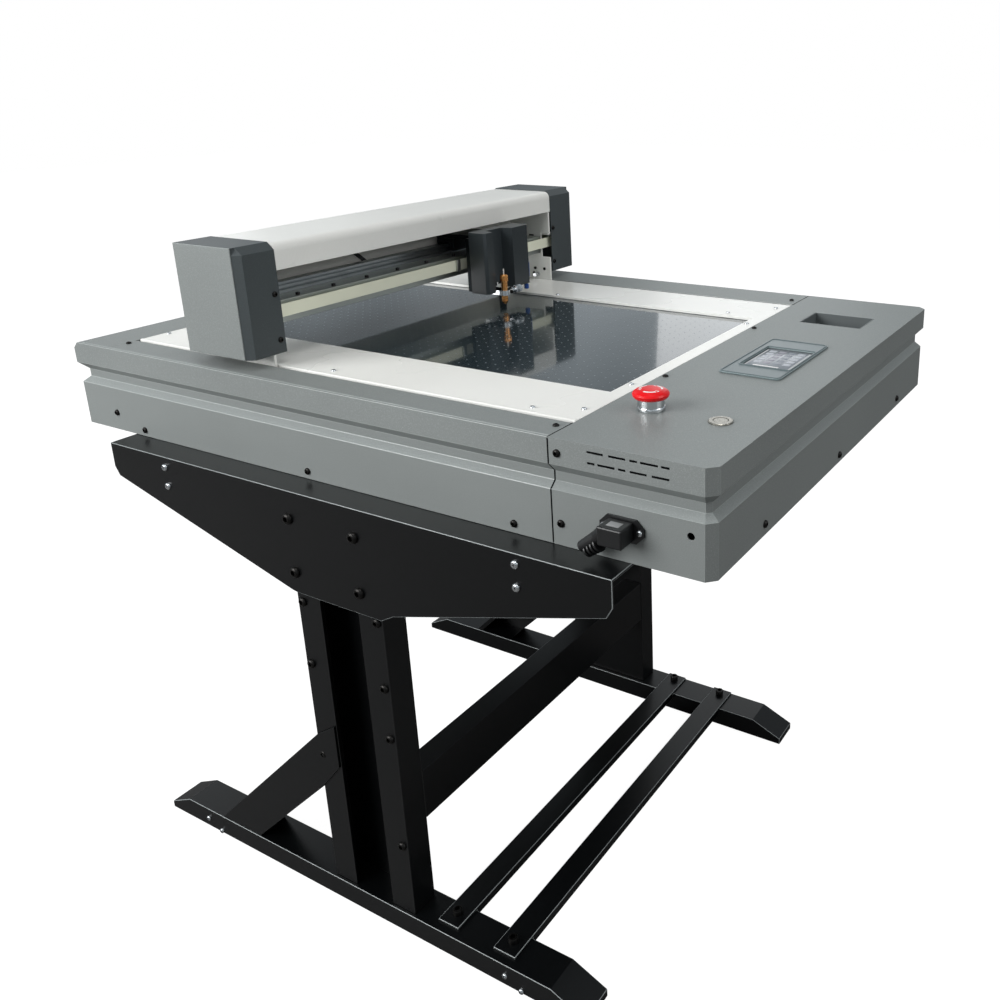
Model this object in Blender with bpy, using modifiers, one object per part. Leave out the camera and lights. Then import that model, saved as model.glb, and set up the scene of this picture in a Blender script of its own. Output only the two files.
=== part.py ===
"""A flatbed cutting plotter on a steel stand.

Metres, +Z up.  The origin is on the floor, under the middle of the machine's box.
The gantry travels along X, with the control panel at +X, and the operator stands at -Y.
"""
import math

import bmesh
import bpy
from mathutils import Matrix, Vector

# ---- overall sizes -----------------------------------------------------------------------
BODY_LENGTH = 0.975         # along X
BODY_DEPTH = 0.704          # along Y
BODY_HEIGHT = 0.1165
STAND_HEIGHT = 0.595        # floor to the underside of the body
STAND_LEAD = 0.036          # how far the near foot stands out in front of the body
GAP = 0.0003                # running gap between pieces that touch
SHEET = 0.002               # wall of the casings and covers

# ---- casing ------------------------------------------------------------------------------
BAY_LENGTH = 0.1837         # control bay, right of the seam
TOP_BAND = 0.0285           # upright band above the groove
GROOVE_ENTRY = 0.0105       # height of the slope from the band down into the groove
GROOVE_FLOOR = 0.0105
GROOVE_EXIT = 0.007
GROOVE_DEPTH = 0.010
LOWER_INSET = 0.002         # the lower panel stands this far behind the band
CORNER_CUT = 0.0105         # upright corners of the bay
LEFT_BEVEL = 0.008          # along the top left edge
RIM = 0.004                 # top flange of the main casing
COVER_LIP = 0.010           # down-turned lip of a deck cover along its slot

# ---- deck --------------------------------------------------------------------------------
LEFT_COVER = 0.0723         # from the left end of the body to the table frame
FRONT_STRIP = 0.0446
REAR_STRIP = 0.069
LEG_SLOT = 0.0057           # slots between the deck covers and the table frame
FRAME_THICK = 0.0042
FRAME_LEFT = 0.0235         # widths of the table frame's four sides
FRAME_RIGHT = 0.0196
FRAME_FRONT = 0.0989
FRAME_REAR = 0.098
TABLE_THICK = 0.0057
TABLE_LAP = 0.012           # how far the table plate reaches under its frame
CHAMBER_DEPTH = 0.0415
CHAMBER_SHEET = 0.00245     # wall of the suction chamber, heavier than the casings'
PORT_RADIUS = 0.025         # suction port between chamber and fan

# ---- suction fan -------------------------------------------------------------------------
FAN_RADIUS = 0.075
FAN_WALL = 0.003
ROTOR_ROOM = 0.012          # fan rotor to the housing's wall
ROTOR_HUB = 0.012
ROTOR_BLADES = 12
SPIGOT_RADIUS = 0.005

# ---- rails and drive ---------------------------------------------------------------------
RAIL_WIDTH = 0.015
RAIL_HEIGHT = 0.015
RAIL_WAIST = 0.010
BLOCK_WIDTH = 0.034
BLOCK_TOP = 0.028           # above the foot of the rail
BLOCK_FOOT = 0.004
BLOCK_PLAY = 0.0004         # bearing block to rail
RAIL_START = 0.0825         # left end of the body to the X rails
RAIL_STOP = 0.0238          # X rails to the seam
SHAFT_RADIUS = 0.005
SHAFT_RISE = 0.043          # shaft axis above the base pan
DRIVE_REACH = 0.0475        # left end of the body to the drive shaft
IDLER_REACH = 0.0108        # idler shaft to the seam
X_PULLEY_RADIUS = 0.012
X_BELT_WIDTH = 0.010
X_BELT_OFFSET = 0.0268      # leg to the middle of its belt, towards the machine's middle
BELT_THICK = 0.0015
FLANGE_STEP = 0.0013        # pulley flange above the pulley's running face
FLANGE_THICK = 0.001
BRACKET_THICK = 0.005
BRACKET_HALF = 0.015
X_MOTOR_HALF = 0.0285
X_MOTOR_LENGTH = 0.044

# ---- gantry ------------------------------------------------------------------------------
GANTRY_REST = 0.2869        # left end of the body to the middle of the gantry at rest
GANTRY_WIDTH = 0.1248
CAP_LIFT = 0.014            # deck to the underside of the end caps
CAP_TOP = 0.150             # deck to their top
CAP_CUT_X = 0.0106          # upright corner cut: across and along
CAP_CUT_Y = 0.0067
CAP_BEVEL_Z = 0.0086
IDLER_ROOM = 0.0013         # front leg to the flange of the idler
SHELF_TRIM = 0.001          # idler's shelf inside the idler's outline
FRONT_CAP_ROOM = 0.0054     # idler's shelf to the outer face of the front cap
FRONT_CAP_LAP = 0.0188      # front leg to the inner edge of its cap
REAR_CAP_LEAD = 0.0057      # rear leg to the inner edge of its cap
REAR_CAP_REACH = 0.0700
COVER_INSET = 0.0015        # gantry cover inside the outline of the caps
COVER_FRONT_EDGE = 0.1155   # deck to the cover's lower front edge
COVER_REAR_EDGE = 0.033
COVER_CORNER = 0.010
LEG_THICK = 0.0032
LEG_WIDTH = 0.0997
BEAM_FRONT = 0.0183         # from the right face of the gantry to the beam's front
BEAM_WIDTH = 0.056
BEAM_LOW = 0.0455           # above the deck
BEAM_HIGH = 0.074
BEAM_WALL = 0.002
Y_BELT_LOW = 0.055
Y_BELT_WIDTH = 0.016
Y_BELT_FACE = 0.0097        # from the right face of the gantry to the belt's face
Y_PULLEY_RADIUS = 0.013
Y_RAIL_SET = 0.0185         # back of the beam to the middle of its rail
Y_MOTOR_HALF = 0.02075
Y_MOTOR_HEIGHT = 0.040
MOTOR_SHAFT = 0.0025
AXLE_RADIUS = 0.003
SHELF_LOW = 0.0765
SHELF_THICK = 0.0035
NOTCH_DEPTH = 0.0173        # opening in the legs for the belt's front run
NOTCH_LOW = 0.0387
NOTCH_HIGH = 0.080
TRAY_SHEET = 0.0015

# ---- carriage and tool -------------------------------------------------------------------
CARRIAGE_WIDTH = 0.1076
CARRIAGE_REST = 0.11675     # carriage to the rear leg at rest
HOUSING_DEPTH = 0.0317
HOUSING_STAND = 0.0307      # front of the beam to the carriage's cover
HOUSING_LOW = 0.0214        # above the deck
HOUSING_HIGH = 0.1136
RECESS_START = 0.0246       # near side of the carriage to its recess
RECESS_WIDTH = 0.0355
RECESS_DEPTH = 0.0175
PLATE_THICK = 0.006
TOOL_STAND = 0.0061         # front of the cover to the tool's axis
TOOL_START = 0.0313         # near side of the carriage to the tool's axis
TOOL_TIP = 0.0033           # blade holder's nose above the deck
HOLDER_BODY = 0.00475
HOLDER_FLANGE = 0.00635
HOLDER_CAP = 0.00575
BLADE_RADIUS = 0.001
PIN_RADIUS = 0.001
CLAMP_LOW = 0.0166
CLAMP_HEIGHT = 0.0077
CLAMP_RADIUS = 0.0085
SCREW_RADIUS = 0.0025

# ---- controls ----------------------------------------------------------------------------
ESTOP_IN = (0.1333, 0.1172)     # from the right end and from the front of the body
ESTOP_COLLAR_HEIGHT = 0.014
ESTOP_COLLAR = 0.0145
ESTOP_HEAD = 0.020
ESTOP_TRAVEL = 0.004
BUTTON_IN = (0.0517, 0.1166)
BUTTON_BEZEL = 0.013
BUTTON_CAP = 0.008
PANEL_IN = (0.0517, 0.2692)     # touch panel, from the right end and from the front
PANEL_SIZE = (0.0787, 0.1632)
PANEL_BODY = (0.072, 0.144)     # its body below the deck
SCREEN_IN = (0.0129, 0.0384)    # screen, from the panel's left and near edges
SCREEN_SIZE = (0.0610, 0.0844)
POCKET_IN = (0.0469, 0.1007)    # tray, from the right end and from the back
POCKET_SIZE = (0.0883, 0.0634)
POCKET_DEPTH = 0.030
INLET_IN = 0.1001               # mains inlet, from the right end
INLET_RISE = 0.036              # above the underside of the body
INLET_HALF = (0.0140, 0.0100)   # half width and half height of the inlet's body
PLUG_LEAN = -38.0               # the plug's lead leaves down to the left
SIDE_HOLE = (0.0259, 0.0442)    # round hole, from the right end and above the underside
SIDE_HOLE_RADIUS = 0.004
VENT_HALF = 0.0012              # half height of a vent
# vents in the bay's front: depth below the deck, and each slot's start past the seam and length
VENTS = (
    (0.0078, ((0.0458, 0.0187), (0.0703, 0.0189), (0.0937, 0.0085), (0.1055, 0.0192),
              (0.1278, 0.0092))),
    (0.0192, ((0.0460, 0.0086), (0.0578, 0.0194), (0.0809, 0.0083), (0.0940, 0.0184),
              (0.1178, 0.0188))),
)
SUPPLY_IN = 0.184               # power supply, from the front of the body
SUPPLY_SIZE = (0.100, 0.200, 0.040)
BOARD_IN = 0.414                # control board, from the front of the body
BOARD_SIZE = (0.130, 0.180)
BOARD_THICK = 0.0016
WIRING_ROOM = 0.021             # seam to the electronics

# ---- stand -------------------------------------------------------------------------------
PAD_HEIGHT = 0.003
FOOT_LEFT_IN = 0.0856       # feet, from the left and right ends of the body
FOOT_RIGHT_IN = 0.1448
PAD_SIZE = (0.030, 0.024)
PAD_ENDS = (0.040, 0.240)   # pads, from each end of a foot
FOOT_WIDTH = 0.048
FOOT_HEIGHT = 0.0306
FOOT_SLOPE_LEFT = 0.043
FOOT_SLOPE_RIGHT = 0.048
FOOT_TOE = 0.010
FAR_FOOT_IN = 0.168         # back of the body to the front face of the far foot
POST_SHIFT = 0.01225        # middle of the body to the middle of the posts
POST_WIDTH = 0.1397
POST_DEPTH = 0.0365
POST_SET = 0.0043           # post's lips behind the front of the foot
STEEL = 0.003
POST_LIP = 0.038
ARM_PLATE = 0.0027
ARM_FLANGE = 0.078
TUBE = 0.0025
ARM_LEFT_IN = 0.1035        # arm plates, from the left and right ends of the body
ARM_RIGHT_IN = 0.0910
ARM_DROP = 0.1340           # their depth at the posts
BRACE_REACH = 0.2256        # posts to the far side of a brace's foot
BRACE_FOOT = 0.0778         # length of a brace's foot
BRACE_LOW = 0.1757          # height of a brace where it meets its post
BRACE_HIGH = 0.2544
BRACE_DEPTH = 0.040
CROSS_BEAM_SET = 0.0005     # right side of the posts to the cross beam
CROSS_BEAM_WIDTH = 0.0336
CROSS_BEAM_Z = (0.1565, 0.2256)
BAR_LEFT_OUT = 0.0321       # right side of the posts to the two foot bars
BAR_LEFT_WIDTH = 0.0317
BAR_RIGHT_OUT = 0.1195
BAR_RIGHT_WIDTH = 0.0326
BAR_DROP = 0.011

# ---- places worked out from the sizes ----------------------------------------------------
BODY_X = (-BODY_LENGTH / 2, BODY_LENGTH / 2)
FOOT_Y = -(BODY_DEPTH + STAND_LEAD) / 2
BODY_Y = (FOOT_Y + STAND_LEAD, FOOT_Y + STAND_LEAD + BODY_DEPTH)
DECK = STAND_HEIGHT + BODY_HEIGHT
SEAM_X = BODY_X[1] - BAY_LENGTH
FRAME_X = (BODY_X[0] + LEFT_COVER, SEAM_X)
FRAME_Y = (BODY_Y[0] + FRONT_STRIP + LEG_SLOT, BODY_Y[1] - REAR_STRIP - LEG_SLOT)
TABLE_X = (FRAME_X[0] + FRAME_LEFT, FRAME_X[1] - FRAME_RIGHT)
TABLE_Y = (FRAME_Y[0] + FRAME_FRONT, FRAME_Y[1] - FRAME_REAR)
TABLE_TOP = DECK - FRAME_THICK - GAP
PAN_TOP = STAND_HEIGHT + SHEET
FAN_X = sum(TABLE_X) / 2
FAN_Y = sum(TABLE_Y) / 2
ROTOR_RADIUS = FAN_RADIUS - FAN_WALL - ROTOR_ROOM
X_RAIL = (BODY_X[0] + RAIL_START, SEAM_X - RAIL_STOP)
DRIVE_X = BODY_X[0] + DRIVE_REACH
IDLER_X = SEAM_X - IDLER_REACH
GANTRY_X = BODY_X[0] + GANTRY_REST
FRONT_LEG_Y = FRAME_Y[0] - LEG_SLOT / 2
REAR_LEG_Y = FRAME_Y[1] + LEG_SLOT / 2
SHAFT_Z = PAN_TOP + SHAFT_RISE
FRONT_BELT_Y = FRONT_LEG_Y + X_BELT_OFFSET
REAR_BELT_Y = REAR_LEG_Y - X_BELT_OFFSET
BRACKET_STEP = X_BELT_WIDTH / 2 + FLANGE_THICK + BRACKET_THICK / 2 + 0.004
FRONT_BRACKET_Y = FRONT_BELT_Y + BRACKET_STEP
REAR_BRACKET_Y = REAR_BELT_Y - BRACKET_STEP
MOTOR_BRACKET_Y = REAR_LEG_Y + BLOCK_WIDTH / 2 - 0.006
CAP_X = (GANTRY_X - GANTRY_WIDTH / 2, GANTRY_X + GANTRY_WIDTH / 2)
Y_IDLER_Y = FRONT_LEG_Y - LEG_THICK / 2 - IDLER_ROOM - Y_PULLEY_RADIUS - FLANGE_STEP
IDLER_SHELF_HALF = Y_PULLEY_RADIUS - SHELF_TRIM
FRONT_CAP_Y = (Y_IDLER_Y - IDLER_SHELF_HALF - FRONT_CAP_ROOM, FRONT_LEG_Y + FRONT_CAP_LAP)
REAR_CAP_Y = (REAR_LEG_Y + REAR_CAP_LEAD, REAR_LEG_Y + REAR_CAP_REACH)
BEAM_X = (CAP_X[1] - BEAM_FRONT - BEAM_WIDTH, CAP_X[1] - BEAM_FRONT)
LEG_X = (CAP_X[1] - GAP - LEG_WIDTH, CAP_X[1] - GAP)
BELT_OUT = CAP_X[1] - Y_BELT_FACE
Y_PULLEY_X = BELT_OUT - BELT_THICK - GAP - Y_PULLEY_RADIUS
Y_DRIVE_Y = REAR_LEG_Y + 0.0324
Y_RAIL_X = BEAM_X[0] + Y_RAIL_SET
CARRIAGE_Y = (REAR_LEG_Y - CARRIAGE_REST - CARRIAGE_WIDTH, REAR_LEG_Y - CARRIAGE_REST)
CARRIAGE_MID = sum(CARRIAGE_Y) / 2
HOUSING_X = (BEAM_X[1] + HOUSING_STAND, BEAM_X[1] + HOUSING_STAND + HOUSING_DEPTH)
RECESS_Y = (CARRIAGE_Y[0] + RECESS_START, CARRIAGE_Y[0] + RECESS_START + RECESS_WIDTH)
TOOL_X = HOUSING_X[1] + TOOL_STAND
TOOL_Y = CARRIAGE_Y[0] + TOOL_START
ESTOP = (BODY_X[1] - ESTOP_IN[0], BODY_Y[0] + ESTOP_IN[1])
BUTTON = (BODY_X[1] - BUTTON_IN[0], BODY_Y[0] + BUTTON_IN[1])
PANEL_X = (BODY_X[1] - PANEL_IN[0] - PANEL_SIZE[0], BODY_X[1] - PANEL_IN[0])
PANEL_Y = (BODY_Y[0] + PANEL_IN[1], BODY_Y[0] + PANEL_IN[1] + PANEL_SIZE[1])
SCREEN_X = (PANEL_X[0] + SCREEN_IN[0], PANEL_X[0] + SCREEN_IN[0] + SCREEN_SIZE[0])
SCREEN_Y = (PANEL_Y[0] + SCREEN_IN[1], PANEL_Y[0] + SCREEN_IN[1] + SCREEN_SIZE[1])
POCKET_X = (BODY_X[1] - POCKET_IN[0] - POCKET_SIZE[0], BODY_X[1] - POCKET_IN[0])
POCKET_Y = (BODY_Y[1] - POCKET_IN[1] - POCKET_SIZE[1], BODY_Y[1] - POCKET_IN[1])
INLET_X = BODY_X[1] - INLET_IN
FOOT_LEFT = BODY_X[0] + FOOT_LEFT_IN
FOOT_RIGHT = BODY_X[1] - FOOT_RIGHT_IN
FAR_FOOT_Y = BODY_Y[1] - FAR_FOOT_IN
POST_X = (POST_SHIFT - POST_WIDTH / 2, POST_SHIFT + POST_WIDTH / 2)
CROSS_BEAM_X = (POST_X[1] - CROSS_BEAM_SET - CROSS_BEAM_WIDTH, POST_X[1] - CROSS_BEAM_SET)
BAR_LEFT_X = (POST_X[1] + BAR_LEFT_OUT, POST_X[1] + BAR_LEFT_OUT + BAR_LEFT_WIDTH)
BAR_RIGHT_X = (POST_X[1] + BAR_RIGHT_OUT, POST_X[1] + BAR_RIGHT_OUT + BAR_RIGHT_WIDTH)
FOOT_TOP = PAD_HEIGHT + FOOT_HEIGHT
NEAR_POST_Y = FOOT_Y + POST_SET
FAR_POST_Y = FAR_FOOT_Y + FOOT_WIDTH - POST_SET
ARM_TOP = STAND_HEIGHT - GAP
POST_TOP = ARM_TOP - STEEL - GAP

# ---- materials: colour, roughness, metallic ----------------------------------------------
FINISHES = {
    "charcoal_paint": ("6C7170", 0.45, 0.3),
    "dark_charcoal": ("3E4242", 0.45, 0.1),
    "white_paint": ("E8E8E2", 0.35, 0.0),
    "gloss_black": ("1E2222", 0.10, 0.0),
    "satin_black": ("1C1E1F", 0.40, 0.2),
    "steel": ("A9ACAE", 0.30, 1.0),
    "aluminium": ("B9BCBE", 0.40, 0.9),
    "zinc": ("9A9D9A", 0.50, 0.8),
    "belt": ("D8DAC8", 0.60, 0.0),
    "black_plastic": ("17181A", 0.50, 0.0),
    "grey_plastic": ("7F898A", 0.45, 0.0),
    "glass": ("26292C", 0.08, 0.0),
    "red_plastic": ("D8141C", 0.30, 0.0),
    "chrome": ("D4D6D8", 0.12, 1.0),
    "brass": ("C08A4A", 0.30, 1.0),
    "circuit_board": ("1F5B34", 0.50, 0.0),
    "white_plastic": ("EDEDEA", 0.45, 0.0),
}

TURNS = {
    "X": Matrix.Rotation(math.pi / 2, 4, "Y"),
    "Y": Matrix.Rotation(-math.pi / 2, 4, "X"),
    "Z": Matrix.Identity(4),
}
PLANES = {
    "XY": Matrix.Identity(3),
    "XZ": Matrix(((1, 0, 0), (0, 0, -1), (0, 1, 0))),
    "YZ": Matrix(((0, 0, 1), (1, 0, 0), (0, 1, 0))),
}


# ---- scene -------------------------------------------------------------------------------
def clear_scene():
    """Remove every object, so that the script can be run again."""
    for obj in list(bpy.data.objects):
        bpy.data.objects.remove(obj, do_unlink=True)
    for group in list(bpy.data.collections):
        bpy.data.collections.remove(group)


def add_collection(name):
    group = bpy.data.collections.new(name)
    bpy.context.scene.collection.children.link(group)
    return group


def make_material(name):
    colour, roughness, metallic = FINISHES[name]
    material = bpy.data.materials.new(name)
    material.use_nodes = True
    shader = material.node_tree.nodes["Principled BSDF"]
    channels = [int(colour[i:i + 2], 16) / 255 for i in (0, 2, 4)]
    linear = [((c + 0.055) / 1.055) ** 2.4 if c > 0.04045 else c / 12.92 for c in channels]
    shader.inputs["Base Color"].default_value = (*linear, 1.0)
    shader.inputs["Roughness"].default_value = roughness
    shader.inputs["Metallic"].default_value = metallic
    return material


clear_scene()
PARTS = add_collection("flatbed_cutting_plotter")
CUTTERS = add_collection("cutters")
MATERIALS = {name: make_material(name) for name in FINISHES}


def add_pivot(name, place, parent=None):
    """An empty on a joint's axis, which the moving pieces hang on."""
    pivot = bpy.data.objects.new(name, None)
    pivot.location = place
    PARTS.objects.link(pivot)
    if parent:
        hang(pivot, parent)
    return pivot


def hang(obj, parent):
    """Parent an object and keep its place in the world."""
    bpy.context.view_layer.update()
    obj.parent = parent
    obj.matrix_parent_inverse = parent.matrix_world.inverted()


def part(obj, name, finish, parent=None):
    """Turn a shape into a named sub-part with its own finish."""
    obj.name = name
    obj.data.name = name
    for group in list(obj.users_collection):
        group.objects.unlink(obj)
    PARTS.objects.link(obj)
    obj.hide_render = False
    obj.display_type = "TEXTURED"
    obj.data.materials.clear()
    obj.data.materials.append(MATERIALS[finish])
    if parent:
        hang(obj, parent)
    return obj


# ---- shapes ------------------------------------------------------------------------------
def new_shape(name, bm, place):
    """A mesh object in the cutters' collection, until part() makes it a sub-part."""
    mesh = bpy.data.meshes.new(name)
    bm.to_mesh(mesh)
    bm.free()
    obj = bpy.data.objects.new(name, mesh)
    obj.location = place
    obj.hide_render = True
    obj.display_type = "WIRE"
    CUTTERS.objects.link(obj)
    return obj


def box(x, y, z):
    """A box between two values on each axis."""
    size = (x[1] - x[0], y[1] - y[0], z[1] - z[0])
    bm = bmesh.new()
    bmesh.ops.create_cube(bm, size=1.0, matrix=Matrix.Diagonal((*size, 1.0)))
    middle = Vector((x[0] + x[1], y[0] + y[1], z[0] + z[1])) / 2
    return new_shape("box", bm, middle)


def around(centre, half):
    """The two values that lie the same way off a centre."""
    return (centre - half, centre + half)


def rod(axis, place, span, radius, sides=32):
    """A cylinder along an axis through a place, between two values on that axis."""
    index = "XYZ".index(axis)
    middle = Vector(place)
    middle[index] = sum(span) / 2
    bm = bmesh.new()
    bmesh.ops.create_cone(bm, cap_ends=True, segments=sides, radius1=radius, radius2=radius,
                          depth=span[1] - span[0], matrix=TURNS[axis])
    obj = new_shape("rod", bm, middle)
    smooth(obj)
    return obj


def smooth(obj):
    obj.data.shade_smooth()
    obj.data.set_sharp_from_angle(angle=math.radians(35))


def turned(axis, place, profile, sides=32):
    """A solid of revolution.  The profile's (radius, height) points run from top to bottom
    down the outside, and back up the bore if it starts away from the axis."""
    bm = bmesh.new()
    points = [bm.verts.new((radius, 0.0, height)) for radius, height in profile]
    for first, second in zip(points, points[1:]):
        bm.edges.new((first, second))
    if profile[0][0] > 0.0:
        bm.edges.new((points[-1], points[0]))
    obj = new_shape("turned", bm, place)
    obj.rotation_euler = TURNS[axis].to_euler()
    screw = obj.modifiers.new("turn", "SCREW")
    screw.axis = "Z"
    screw.steps = sides
    screw.render_steps = sides
    screw.use_merge_vertices = True
    screw.merge_threshold = 0.00001
    return obj


def prism(rings, plane, span):
    """A flat outline, the first ring, with holes, the others, thick across its plane."""
    curve = bpy.data.curves.new("outline", "CURVE")
    curve.dimensions = "2D"
    curve.fill_mode = "BOTH"
    curve.extrude = (span[1] - span[0]) / 2
    for ring in rings:
        spline = curve.splines.new("POLY")
        spline.points.add(len(ring) - 1)
        for point, (across, up) in zip(spline.points, ring):
            point.co = (across, up, 0.0, 1.0)
        spline.use_cyclic_u = True
    outline = bpy.data.objects.new("outline", curve)
    bpy.context.scene.collection.objects.link(outline)
    bpy.context.view_layer.update()
    graph = bpy.context.evaluated_depsgraph_get()
    mesh = bpy.data.meshes.new_from_object(outline.evaluated_get(graph))
    bm = bmesh.new()
    bm.from_mesh(mesh)
    bmesh.ops.remove_doubles(bm, verts=bm.verts, dist=0.00001)
    bmesh.ops.dissolve_degenerate(bm, edges=bm.edges, dist=0.000001)
    bmesh.ops.recalc_face_normals(bm, faces=bm.faces)
    bmesh.ops.transform(bm, matrix=PLANES[plane].to_4x4(), verts=bm.verts)
    place = [0.0, 0.0, 0.0]
    place[{"XY": 2, "XZ": 1, "YZ": 0}[plane]] = sum(span) / 2
    bpy.data.objects.remove(outline, do_unlink=True)
    bpy.data.meshes.remove(mesh)
    return new_shape("prism", bm, place)


def arc(centre, radius, start, end, steps):
    """Points on a round stretch of an outline, angles in degrees."""
    points = []
    for step in range(steps + 1):
        angle = math.radians(start + (end - start) * step / steps)
        points.append((centre[0] + radius * math.cos(angle),
                       centre[1] + radius * math.sin(angle)))
    return points


def rounded(x, y, radius, steps=4):
    """A rectangle with round corners, anticlockwise."""
    return (arc((x[1] - radius, y[1] - radius), radius, 0, 90, steps)
            + arc((x[0] + radius, y[1] - radius), radius, 90, 180, steps)
            + arc((x[0] + radius, y[0] + radius), radius, 180, 270, steps)
            + arc((x[1] - radius, y[0] + radius), radius, 270, 360, steps))


def loft(rings, inside, closed, fill_last=False):
    """A surface through rings of equal count, facing away from a point inside it."""
    bm = bmesh.new()
    rows = [[bm.verts.new(point) for point in ring] for ring in rings]
    for low, high in zip(rows, rows[1:]):
        count = len(low) if closed else len(low) - 1
        for i in range(count):
            j = (i + 1) % len(low)
            corners = [low[i], low[j], high[j], high[i]]
            kept = [v for n, v in enumerate(corners) if v.co != corners[n - 1].co]
            if len(kept) > 2:
                bm.faces.new(kept)
    if fill_last:
        bm.faces.new(rows[-1])
    bmesh.ops.remove_doubles(bm, verts=bm.verts, dist=0.00001)
    bmesh.ops.recalc_face_normals(bm, faces=bm.faces)
    bm.faces.ensure_lookup_table()
    widest = max(bm.faces, key=lambda face: face.calc_area())
    if widest.normal.dot(widest.calc_center_median() - Vector(inside)) < 0:
        bmesh.ops.reverse_faces(bm, faces=bm.faces)
    return new_shape("loft", bm, (0.0, 0.0, 0.0))


def thicken(obj, thickness):
    """Give a surface its wall, inwards."""
    solidify = obj.modifiers.new("wall", "SOLIDIFY")
    solidify.thickness = thickness
    solidify.offset = -1.0
    solidify.use_even_offset = True
    return obj


def boolean(obj, other, operation):
    change = obj.modifiers.new(operation.lower(), "BOOLEAN")
    change.operation = operation
    change.solver = "EXACT"
    change.object = other


def cut(obj, *cutters):
    for cutter in cutters:
        boolean(obj, cutter, "DIFFERENCE")
    return obj


def join(obj, *others):
    for other in others:
        boolean(obj, other, "UNION")
    return obj


# ---- casing ------------------------------------------------------------------------------
def wall_rows():
    """The casing wall's profile: height, and how far in from the outline."""
    band = DECK - TOP_BAND
    floor_high = band - GROOVE_ENTRY
    floor_low = floor_high - GROOVE_FLOOR
    lower = floor_low - GROOVE_EXIT
    return [(STAND_HEIGHT, LOWER_INSET), (lower, LOWER_INSET), (floor_low, GROOVE_DEPTH),
            (floor_high, GROOVE_DEPTH), (band, 0.0)]


def main_outline(z, inset, left=0.0):
    """The main casing's outline, open at the seam."""
    west = BODY_X[0] + inset + left
    return [(SEAM_X - GAP, BODY_Y[0] + inset, z), (west, BODY_Y[0] + inset, z),
            (west, BODY_Y[1] - inset, z), (SEAM_X - GAP, BODY_Y[1] - inset, z)]


def bay_outline(z, inset):
    """The control bay's outline, open at the seam, with its two corners cut off."""
    east = BODY_X[1] - inset
    cut_off = CORNER_CUT - inset * (2 - math.sqrt(2))
    south = BODY_Y[0] + inset
    north = BODY_Y[1] - inset
    return [(SEAM_X + GAP, south, z), (east - cut_off, south, z), (east, south + cut_off, z),
            (east, north - cut_off, z), (east - cut_off, north, z), (SEAM_X + GAP, north, z)]


def make_casings():
    """Two formed casings that meet at the seam."""
    inside = (0.0, 0.0, STAND_HEIGHT + BODY_HEIGHT / 2)
    rows = [main_outline(z, inset) for z, inset in wall_rows()]
    rows.append(main_outline(DECK - LEFT_BEVEL, 0.0))
    rows.append(main_outline(DECK, 0.0, LEFT_BEVEL))
    rows.append(main_outline(DECK, RIM, LEFT_BEVEL))
    main = thicken(loft(rows, inside, closed=False), SHEET)
    part(main, "main_housing", "charcoal_paint")

    inside = (BODY_X[1] - BAY_LENGTH / 2, 0.0, STAND_HEIGHT + BODY_HEIGHT / 2)
    rows = [bay_outline(z, inset) for z, inset in wall_rows()]
    rows.append(bay_outline(DECK, 0.0))
    bay = thicken(loft(rows, inside, closed=False, fill_last=True), SHEET)
    deep = (DECK - 2 * SHEET, DECK + SHEET)
    cut(bay, rod("Z", (*ESTOP, 0), deep, ESTOP_COLLAR - 0.0032),
        rod("Z", (*BUTTON, 0), deep, BUTTON_BEZEL - 0.0032),
        box(around(sum(PANEL_X) / 2, PANEL_BODY[0] / 2),
            around(sum(PANEL_Y) / 2, PANEL_BODY[1] / 2), deep),
        box((POCKET_X[0] - GAP, POCKET_X[1] + GAP), (POCKET_Y[0] - GAP, POCKET_Y[1] + GAP), deep))
    front = (BODY_Y[0] - SHEET, BODY_Y[0] + 3 * SHEET)
    inlet_z = STAND_HEIGHT + INLET_RISE
    hole = (BODY_X[1] - SIDE_HOLE[0], 0, STAND_HEIGHT + SIDE_HOLE[1])
    cut(bay, box(around(INLET_X, INLET_HALF[0] + GAP), front, around(inlet_z, INLET_HALF[1] + GAP)),
        rod("Y", hole, front, SIDE_HOLE_RADIUS))
    for drop, slots in VENTS:
        for start, length in slots:
            left = SEAM_X + start
            cut(bay, box((left, left + length), front, around(DECK - drop, VENT_HALF)))
    part(bay, "bay_housing", "charcoal_paint")


def make_base_pan():
    """The bottom plate, with the bearing brackets of the two X shafts."""
    inset = LOWER_INSET + SHEET + GAP
    cut_off = CORNER_CUT - inset * (2 - math.sqrt(2))
    west, east = BODY_X[0] + inset, BODY_X[1] - inset
    south, north = BODY_Y[0] + inset, BODY_Y[1] - inset
    outline = [(west, south), (east - cut_off, south), (east, south + cut_off),
               (east, north - cut_off), (east - cut_off, north), (west, north)]
    pan = prism([outline], "XY", (STAND_HEIGHT, PAN_TOP))
    top = SHAFT_Z + BRACKET_HALF
    for shaft_x in (DRIVE_X, IDLER_X):
        for middle in (FRONT_BRACKET_Y, REAR_BRACKET_Y):
            span = around(middle, BRACKET_THICK / 2)
            join(pan, cut(box(around(shaft_x, BRACKET_HALF), span, (PAN_TOP - SHEET / 2, top)),
                          rod("Y", (shaft_x, 0, SHAFT_Z), wider(span), SHAFT_RADIUS + GAP)))
    span = around(MOTOR_BRACKET_Y, BRACKET_THICK / 2)
    bracket = box(around(DRIVE_X, X_MOTOR_HALF), span, (PAN_TOP - SHEET / 2, SHAFT_Z + X_MOTOR_HALF))
    join(pan, cut(bracket, rod("Y", (DRIVE_X, 0, SHAFT_Z), wider(span), SHAFT_RADIUS + GAP)))
    part(pan, "base_pan", "zinc")


def wider(span, extra=0.001):
    """A span that runs past both ends of another, for a clean cut."""
    return (span[0] - extra, span[1] + extra)


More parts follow.
